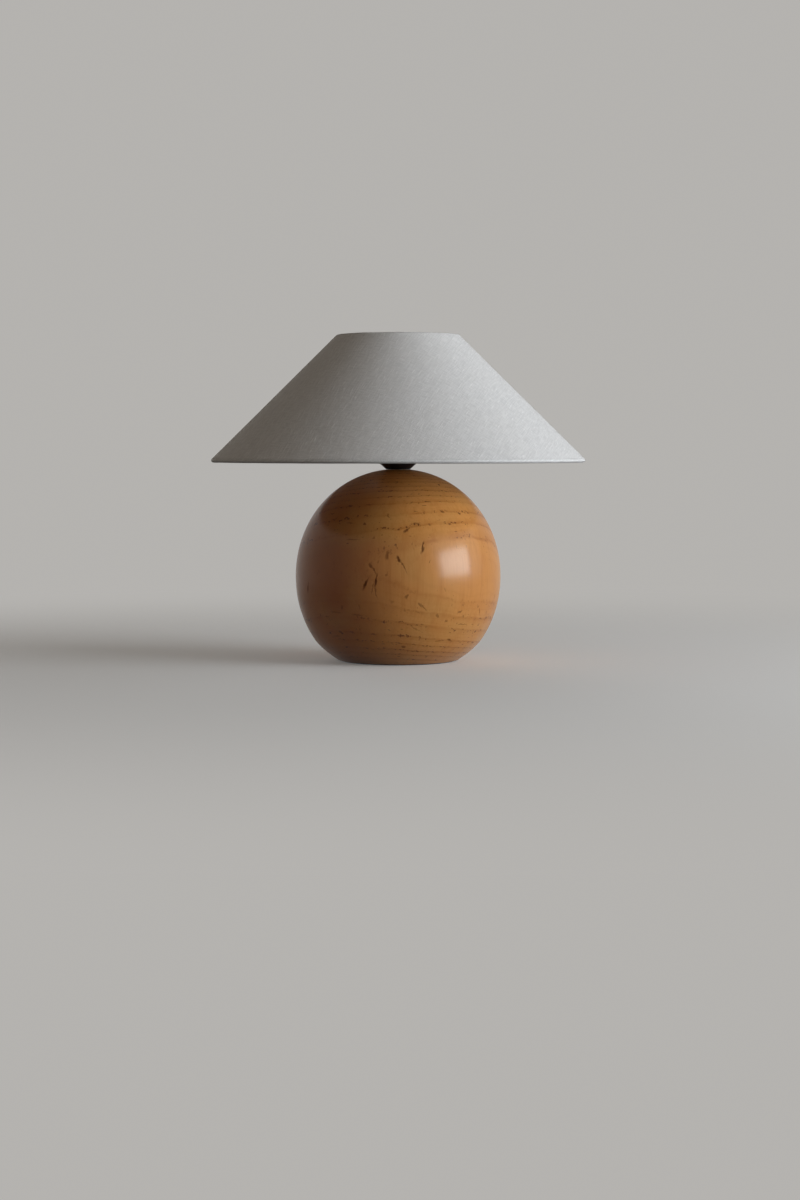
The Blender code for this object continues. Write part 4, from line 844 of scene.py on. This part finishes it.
def make_holder(look, plastic):
    """The cap, the threaded sleeve, the screw shell and the switch knob."""
    outline = mm(
        (5.3, 0, 0.3), (11.7, 0, 0.4), (20, 7.2, 1), (20, 24), (19.7, 24.3), (19.7, 24.9),
        (20, 25.2), (20, 29.5, 0.8), (18, 29.5, 0.3), (18, 8.5, 1), (13, 4, 0.6), (9.5, 4, 0.5),
        (9.5, 11.5, 0.4), (5.3, 11.5, 0.3),
    )
    base = seat("holder_cap")
    cap = make_piece("holder_cap_shell", lathe(eased(outline, 4), 128), plastic, None, base)
    axis = middle("switch_knob").z
    drill(cap, SPINDLE_HOLE, 0.02, 32, TO_RIGHT, (0.015, 0, axis))
    drill(cap, SPINDLE_HOLE, 0.02, 32, TO_BACK, (0, 0.0047, base[2] + GRUB_HOLE_HEIGHT))
    settle(cap, "base", "black_bakelite", "holder_cap")
    make_sleeve(plastic)
    outline = mm((2.3, 0), (6.2, 0, 0.5), (6.5, 2.5, 0.3), (6.5, 11.2, 1.2), (3, 12, 0.6),
                 (2.2, 11.6, 0.4), (0, 11.6), (0, 9), (2.3, 9))
    turned("turn_knob", eased(outline, 5), plastic, (low("switch_knob").x, 0, axis),
           "switch_knob", "black_bakelite", "switch_knob", steps=240,
           rim=lobes(look.knob_lobes, 0.08, 0.004), turn=TO_RIGHT)


def make_sleeve(plastic):
    """The threaded sleeve on the cap and the screw shell inside it."""
    outline = [
        *mm((16.5, -5), (17.7, -5), (17.7, 0), (19.6, 0), (20, 0.4), (20, 3.3), (19.6, 3.7),
            (19, 3.7)),
        *ladder(0.019, 0.004, 0.0345, 110),
        *mm((19, 37), (18.3, 37.7), (15.7, 37.7), (15.2, 37.3), (15.2, 35.2), (16.5, 35)),
    ]
    rim = thread(ridge, THREAD_PITCH, 0.001, 0.005, 0.0342, 0.0016, 0.0189, 0.0191)
    turned("threaded_holder_sleeve", outline, plastic, (0, 0, high("holder_cap").z + GAP),
           "base", "black_bakelite", "threaded_sleeve", steps=144, rim=rim)
    tall = high("screw_shell").z - low("screw_shell").z
    inner = ladder(0.0136, 0.003, tall, 80)
    outer = [(radius + 0.0004, height) for radius, height in inner]
    outline = [*mm((12, 0), (13.9, 0)), *outer, *inner[::-1], *mm((13.4, 0.5), (12, 0.5))]
    turned("screw_shell_brass", outline, metal("shell_brass", BRASS, 0.2, (1, 1, 0.05)),
           seat("screw_shell"), "base", "brass", "screw_shell", steps=96,
           rim=thread(wave, BULB_PITCH, 0.0009, 0.004, tall - 0.0008, 0.002))


def flat_ring(node, inner, outer, inner_edge, outer_edge):
    """Outline of a flat ring as thick as a node, with rounded edges."""
    thick = high(node).z - low(node).z
    return eased([(inner, 0, inner_edge), (outer, 0, outer_edge), (outer, thick, outer_edge),
                  (inner, thick, inner_edge)])


def make_rings(look, plastic):
    """The two lobed shade rings and the washer between the lower one and the fitter ring."""
    bore = [(0.0208, 0.0059), *ladder(0.0206, 0.0055, 0.0005, 20), (0.0208, 0.0001)]
    outside = eased(mm((28, 0, 0.9), (28, 6, 0.9)), 5)
    outline = [(0.0212, 0), *outside, (0.0212, 0.006), *bore]
    for side in ("lower", "upper"):
        node = f"{side}_shade_ring"
        turned(f"{side}_lobed_ring", outline, plastic, seat(node), f"{side}_ring",
               "black_bakelite", node, steps=216, rim=lobes(look.ring_lobes, 0.028, 0.024))
    turned("ring_washer", flat_ring("fitter_washer", 0.0205, 0.0275, 0.0002, 0.0003),
           metal("washer_zinc", ZINC, 0.28, (1, 1, 0.06)), seat("fitter_washer"),
           "carriage", "zinc_plate", "fitter_washer", steps=144)


def globe_outline(radius, inset, steps):
    """The bulb's glass from inside the cap up to the top, inset from the outer face."""
    radius, neck = radius - inset, BULB_NECK - inset
    centre = high("bulb_globe").z - inset - radius
    tangent = radians(55)
    meet = (radius * sin(tangent), centre - radius * cos(tangent))
    control = (neck, meet[1] - (meet[0] - neck) * tan(tangent))
    start = (neck, high("bulb_cap").z + GAP)
    points = [(neck, low("bulb_globe").z), *curve(start, control, meet, 12)]
    for angle in np.linspace(tangent, pi, steps + 1)[1:]:
        points.append((radius * sin(angle), centre - radius * cos(angle)))
    return points


def make_bulb(look):
    """The opal globe and its threaded cap with the glass and the tip under it."""
    outside = globe_outline(look.radius, 0, 40)
    inside = globe_outline(look.radius, GLASS_WALL, 20)
    turned("opal_globe", outside + inside[::-1], glass_finish(look), (0, 0, 0),
           "bulb", "opal_glass", "bulb_globe", "bulb_stem", steps=128)
    nickel = metal("nickel_cap", (0.66, 0.64, 0.58), 0.22, (1, 1, 0.05))
    tall = high("bulb_cap").z - low("bulb_cap").z
    outline = [*mm((10.9, 0), (11.8, 1.4)), *ladder(0.0122, 0.0028, tall, 84), (0.0116, tall),
               *mm((11.6, 3), (10.6, 0))]
    rim = thread(wave, BULB_PITCH, 0.001, 0.003, tall - 0.0026, 0.002, 0.0119)
    turned("threaded_bulb_cap", outline, nickel, seat("bulb_cap"), "bulb", "nickel_brass",
           "bulb_cap", steps=96, rim=rim)
    under = low("bulb_insulator").z
    outline = [(0, 0), (0.005, 0, 0.0006), (0.0103, low("bulb_cap").z - under, 0.0005),
               (0.0103, high("bulb_insulator").z - under), (0, 0.005)]
    turned("cap_insulator", eased(outline, 4),
           mottled("black_glass", (0.02, 0.02, 0.022), 0.12, 0.2, 200), (0, 0, under),
           "bulb", "black_glass", "bulb_insulator", steps=72)
    outline = mm((0, 0), (1.2, 0.06), (2.4, 0.3), (3.4, 0.8), (3.9, 1.3), (4, 1.5), (0, 1.5))
    turned("solder_tip", outline, nickel, seat("bulb_tip_contact"), "bulb", "nickel_brass",
           "bulb_tip_contact", steps=48)


def make_frame(look):
    """The fitter ring, the three bent spokes and the two wires inside the hems."""
    enamel = mottled("white_enamel", look.enamel, 0.34, 0.05, 260, 0.00006)
    outline = flat_ring("fitter_ring", 0.021, 0.032, 0.0003, 0.0004)
    turned("enamelled_fitter_ring", outline, enamel, seat("fitter_ring"),
           "shade", "white_enamel", "fitter_ring", steps=160)
    start = high("shade_spoke_1").z - WIRE_RADIUS
    end = low("shade_spoke_1").z + WIRE_RADIUS
    reach = high("shade_spoke_1").y
    wire = sweep(eased([(0.0289, start), (0.033, start, 0.0025), (reach - 0.0064, end, 0.004),
                        (reach, end)], 8), WIRE_RADIUS)
    for number, degrees in ((1, 90), (2, 210), (3, 330)):
        turn = Matrix.Rotation(radians(degrees), 4, "Z")
        spoke = make_piece(f"enamelled_spoke_{number}", wire, enamel, turn)
        settle(spoke, "shade", "white_enamel", f"shade_spoke_{number}")
    for end, (radius, height) in (("bottom", CONE_LOW), ("top", CONE_HIGH)):
        outline = [(radius + WIRE_RADIUS * cos(angle), height + WIRE_RADIUS * sin(angle))
                   for angle in np.arange(12) * FULL_TURN / 12]
        turned(f"{end}_hem_wire", outline, enamel, (0, 0, 0), "shade", "white_enamel",
               f"shade_{end}_wire", steps=192)


def cone_point(along, outward):
    """A point of the shade: a distance up the slope from the bottom wire, and outward."""
    return (
        CONE_LOW[0] - along * CONE_IN + outward * CONE_UP,
        CONE_LOW[1] + along * CONE_UP + outward * CONE_IN,
    )


def cone_sheet(name, margin, inner, outer, rows, steps, swing, seed, finish):
    """A skin of the cone with a slight unevenness of the stretched cloth."""
    places = np.linspace(margin, CONE_LENGTH - margin, rows + 1)
    outline = [cone_point(along, outer) for along in places]
    outline += [cone_point(along, inner) for along in places[::-1]]
    points, faces = lathe(outline, steps)
    angles = np.arctan2(points[:, 1], points[:, 0])
    distance = np.hypot(points[:, 0], points[:, 1])
    random = np.random.default_rng(seed)
    swell = np.zeros(len(points))
    for count in (3, 5, 8, 13, 21):
        a, b, c = random.uniform(0, FULL_TURN, 3)
        swell += np.sin(count * angles + a) * np.sin(distance * 40 + b) / count ** 0.6
        swell += np.sin(count * angles + distance * 25 + c) / count
    swell *= swing / np.abs(swell).max()
    points[:, 0] += swell * np.cos(angles) * CONE_UP
    points[:, 1] += swell * np.sin(angles) * CONE_UP
    points[:, 2] += swell * CONE_IN
    return make_piece(name, (points, faces), finish)


def hem(name, centre_along, up, finish, seed):
    """Cloth rolled round a wire, from the linen's edge outside to a glued lip on the inside."""
    turns = np.radians(np.linspace(80, 300, 26))
    lip = mm((1.9, -1.3), (3, -0.55), (4.2, 0.15), (5.6, 0.5), (7, 0.6))
    path = np.array([*((HEM_RADIUS * cos(turn), HEM_RADIUS * sin(turn)) for turn in turns), *lip])
    ahead = np.gradient(path, axis=0)
    inner = path + HEM_WALL * ahead[:, ::-1] * (-1, 1) / np.linalg.norm(ahead, axis=1)[:, None]
    outline = [cone_point(centre_along + up * u, n) for u, n in (*path, *inner[::-1])]
    points, faces = lathe(outline, 256)
    angles = np.arctan2(points[:, 1], points[:, 0])
    random = np.random.default_rng(seed)
    wobble = np.zeros(len(points))
    for count in (7, 12, 19, 31, 47):
        wobble += np.sin(count * angles + random.uniform(0, FULL_TURN)) / count ** 0.5
    points[:, 2] += wobble * up * 0.0001 / np.abs(wobble).max()
    return make_piece(name, (points, faces), finish)


def make_seam(finish):
    """The glued overlap of the linen, straight up the back."""
    rows, half_width, thick = 40, 0.0045, 0.00035
    profile = [(-1.0, 0.0), (-0.93, 0.9), (-0.8, 1.0), (0.8, 1.0), (0.93, 0.9), (1.0, 0.0)]
    points = []
    for along in np.linspace(0.0008, CONE_LENGTH - 0.0008, rows + 1):
        for side, rise in profile:
            radius, height = cone_point(along, HEM_RADIUS + 0.00002 + thick * rise)
            turn = pi / 2 + side * half_width / radius
            points.append((radius * cos(turn), radius * sin(turn), height))
    ends = [list(range(len(profile))), list(range(len(points) - len(profile), len(points)))[::-1]]
    return make_piece("linen_seam", (points, skin(rows + 1, len(profile)) + ends), finish)


def make_cloth(look):
    """The linen cone with its seam and hems, and the film inside it."""
    cloth = cone_linen(look)
    linen = cone_sheet("linen_cone", LINEN_MARGIN, HEM_RADIUS - LINEN_WALL, HEM_RADIUS, 48, 256,
                       0.0001, 3, cloth)
    settle(linen, "shade", "linen", "shade_linen")
    seam = settle(make_seam(cloth), "shade", "linen")
    for end, along, up, (radius, height), seed in (
        ("bottom", 0, 1, CONE_LOW, 11), ("top", CONE_LENGTH, -1, CONE_HIGH, 12),
    ):
        finish = strip_linen(f"{end}_hem_linen", look, radius, height)
        piece = hem(f"{end}_hem_roll", along, up, finish, seed)
        settle(piece, "shade", "linen", f"shade_{end}_hem")
    film = mottled("white_film", look.liner, 0.42, 0.03, 500, 0.00003)
    liner = cone_sheet("film_liner", LINER_MARGIN, 0.001, 0.00135, 24, 192, 0.00003, 5, film)
    settle(liner, "shade", "white_film", "shade_liner")
    area = pi * (CONE_LOW[0] + CONE_HIGH[0]) * CONE_LENGTH


def stage_finish(look):
    """A pale floor that turns into an even backdrop further out, for the eye and for gloss.

    It lights the lamp as a plain matt floor does.
    """
    g = Graph("stage")
    rays = g.node("ShaderNodeLightPath", {}, {}).socket.node.outputs
    seen = 0
    for kind in ("Camera", "Glossy", "Transmission"):
        seen = g.maths("MAXIMUM", seen, Value(g, rays[f"Is {kind} Ray"]))
    x, y, z = g.split(g.place)
    far = ((x * x + y * y) ** 0.5).smooth(0.28, 1.15)
    black = (0, 0, 0)
    glow = g.mix(far, look.glow, look.backdrop)
    return g.finish({
        "Base Color": g.mix(seen, look.bounce, g.mix(far, look.floor, black)),
        "Emission Color": g.mix(seen, black, glow),
        "Emission Strength": 1.0,
        "Roughness": 0.9,
        "Specular IOR Level": 0.0,
    })


def soft_light(name, power, colour, size, way, distance, gloss=True):
    """A soft box that shines on the lamp from a direction, with or without a reflection."""
    light = bpy.data.lights.new(name, "AREA")
    light.shape = "RECTANGLE"
    light.size, light.size_y = size
    light.energy = power
    light.color = colour
    box = add_object(name, light)
    way = Vector(way).normalized()
    box.location = LAMP_MIDDLE + way * distance
    box.rotation_euler = (-way).to_track_quat("-Z", "Y").to_euler()
    box.visible_glossy = gloss


def make_backdrop(look):
    """The floor, and a round backdrop that curves up from it."""
    finish = stage_finish(look)
    half = 4
    corners = [(-half, -half, 0), (half, -half, 0), (half, half, 0), (-half, half, 0)]
    floor = make_piece("stage_floor", (corners, [[0, 1, 2, 3]]), finish)
    rows, inner, bend, top = 24, 3.0, 1.6, 6.0
    profile = [(inner + bend * sin(t), bend - bend * cos(t) + 0.0005)
               for t in np.linspace(0, pi / 2, rows)] + [(inner + bend, top)]
    backdrop = make_piece("stage_backdrop", lathe(profile, 96, closed=False), finish)
    backdrop.visible_diffuse = False
    backdrop.visible_shadow = False


def make_lights(look):
    """Soft lights at the right and behind, and an even fill."""
    cool = (0.91, 0.957, 1.0)
    soft_light("key_light", look.key_power * 0.7, cool, (1.5, 0.84), (0.896, -0.372, 0.18), 2.2)
    soft_light("wide_light", look.key_power * 0.33, cool, (2.8, 2.4), (0.935, -0.24, 0.29), 2.25)
    soft_light("back_light", look.back_power, (1.0, 0.99, 0.97), (1.8, 1.0),
               (-0.17, 0.98, 0.1), 2.4, gloss=False)
    world = bpy.data.worlds.new("fill")
    bpy.context.scene.world = world
    world.use_nodes = True
    light = world.node_tree.nodes["Background"]
    light.inputs["Color"].default_value = (1.0, 0.86, 0.71, 1)
    light.inputs["Strength"].default_value = look.fill


def make_camera(look):
    """A level camera in front of the lamp, shifted as the picture is."""
    camera = bpy.data.cameras.new("camera")
    camera.sensor_fit = "VERTICAL"
    camera.sensor_height = 36
    camera.lens = look.lens
    camera.shift_x, camera.shift_y = (pixels / PICTURE_HEIGHT for pixels in PICTURE_SHIFT)
    eye = add_object("camera", camera)
    eye.location = (0, -look.distance, look.eye_height)
    eye.rotation_euler = (pi / 2, 0, 0)
    bpy.context.scene.camera = eye
    bpy.context.scene.view_settings.view_transform = "Standard"


class LAMP_OT_ball(Operator):
    """Turned ball of lacquered wood, with its recess and cord channel"""

    bl_idname = "lamp.ball"
    bl_label = "Wooden ball"

    def execute(self, context):
        make_ball(context.scene.lamp_wood)
        return {"FINISHED"}


class LAMP_OT_foot(Operator):
    """Felt ring, hardboard cover and screws under the ball, and the cord's bushing"""

    bl_idname = "lamp.foot"
    bl_label = "Foot"

    def execute(self, context):
        make_foot(context.scene.lamp_foot)
        make_gland(black_plastic(context.scene.lamp_holder))
        return {"FINISHED"}


class LAMP_OT_inside(Operator):
    """Finishes of the tube, terminal block, wires and contacts"""

    bl_idname = "lamp.inside"
    bl_label = "Inner pieces"

    def execute(self, context):
        make_inside(black_plastic(context.scene.lamp_holder))
        return {"FINISHED"}


class LAMP_OT_holder(Operator):
    """Black cap, threaded sleeve, screw shell and switch knob"""

    bl_idname = "lamp.holder"
    bl_label = "Lamp holder"

    def execute(self, context):
        make_holder(context.scene.lamp_holder, black_plastic(context.scene.lamp_holder))
        return {"FINISHED"}


class LAMP_OT_rings(Operator):
    """Lobed rings and washer that hold the shade"""

    bl_idname = "lamp.rings"
    bl_label = "Shade rings"

    def execute(self, context):
        make_rings(context.scene.lamp_holder, black_plastic(context.scene.lamp_holder))
        return {"FINISHED"}


class LAMP_OT_bulb(Operator):
    """Round opal bulb with a threaded cap"""

    bl_idname = "lamp.bulb"
    bl_label = "Bulb"

    def execute(self, context):
        make_bulb(context.scene.lamp_bulb)
        return {"FINISHED"}


class LAMP_OT_frame(Operator):
    """Fitter ring, spokes and wires of the shade"""

    bl_idname = "lamp.frame"
    bl_label = "Shade frame"

    def execute(self, context):
        make_frame(context.scene.lamp_shade)
        return {"FINISHED"}


class LAMP_OT_cloth(Operator):
    """Linen cone with its seam, hems and liner"""

    bl_idname = "lamp.cloth"
    bl_label = "Shade linen"

    def execute(self, context):
        make_cloth(context.scene.lamp_shade)
        return {"FINISHED"}


class LAMP_OT_stage(Operator):
    """Floor, backdrop, lights and camera"""

    bl_idname = "lamp.stage"
    bl_label = "Stage"

    def execute(self, context):
        look = context.scene.lamp_stage
        make_backdrop(look)
        make_lights(look)
        make_camera(look)
        return {"FINISHED"}


GROUPS = {
    "lamp_wood": WoodSettings,
    "lamp_foot": FootSettings,
    "lamp_holder": HolderSettings,
    "lamp_bulb": BulbSettings,
    "lamp_shade": ShadeSettings,
    "lamp_stage": StageSettings,
}
OPERATORS = (
    LAMP_OT_ball, LAMP_OT_foot, LAMP_OT_inside, LAMP_OT_holder, LAMP_OT_rings, LAMP_OT_bulb,
    LAMP_OT_frame, LAMP_OT_cloth, LAMP_OT_stage,
)


class LAMP_PT_panel(Panel):
    """Lists the settings and the pieces of the lamp"""

    bl_label = "Table Lamp"
    bl_idname = "LAMP_PT_panel"
    bl_space_type = "VIEW_3D"
    bl_region_type = "UI"
    bl_category = "Table Lamp"

    def draw(self, context):
        for name, group in GROUPS.items():
            box = self.layout.box()
            box.label(text=name.replace("lamp_", "").title())
            for key in group.__annotations__:
                box.prop(getattr(context.scene, name), key)
        for operator in OPERATORS:
            self.layout.operator(operator.bl_idname)


CLASSES = (*GROUPS.values(), *OPERATORS, LAMP_PT_panel)


def register():
    for item in CLASSES:
        bpy.utils.register_class(item)
    for name, group in GROUPS.items():
        setattr(bpy.types.Scene, name, PointerProperty(type=group))


def unregister():
    for name in GROUPS:
        delattr(bpy.types.Scene, name)
    for item in reversed(CLASSES):
        bpy.utils.unregister_class(item)


def main():
    register()
    for operator in OPERATORS:
        getattr(bpy.ops.lamp, operator.bl_idname.split(".")[1])()


if __name__ == "__main__":
    main()
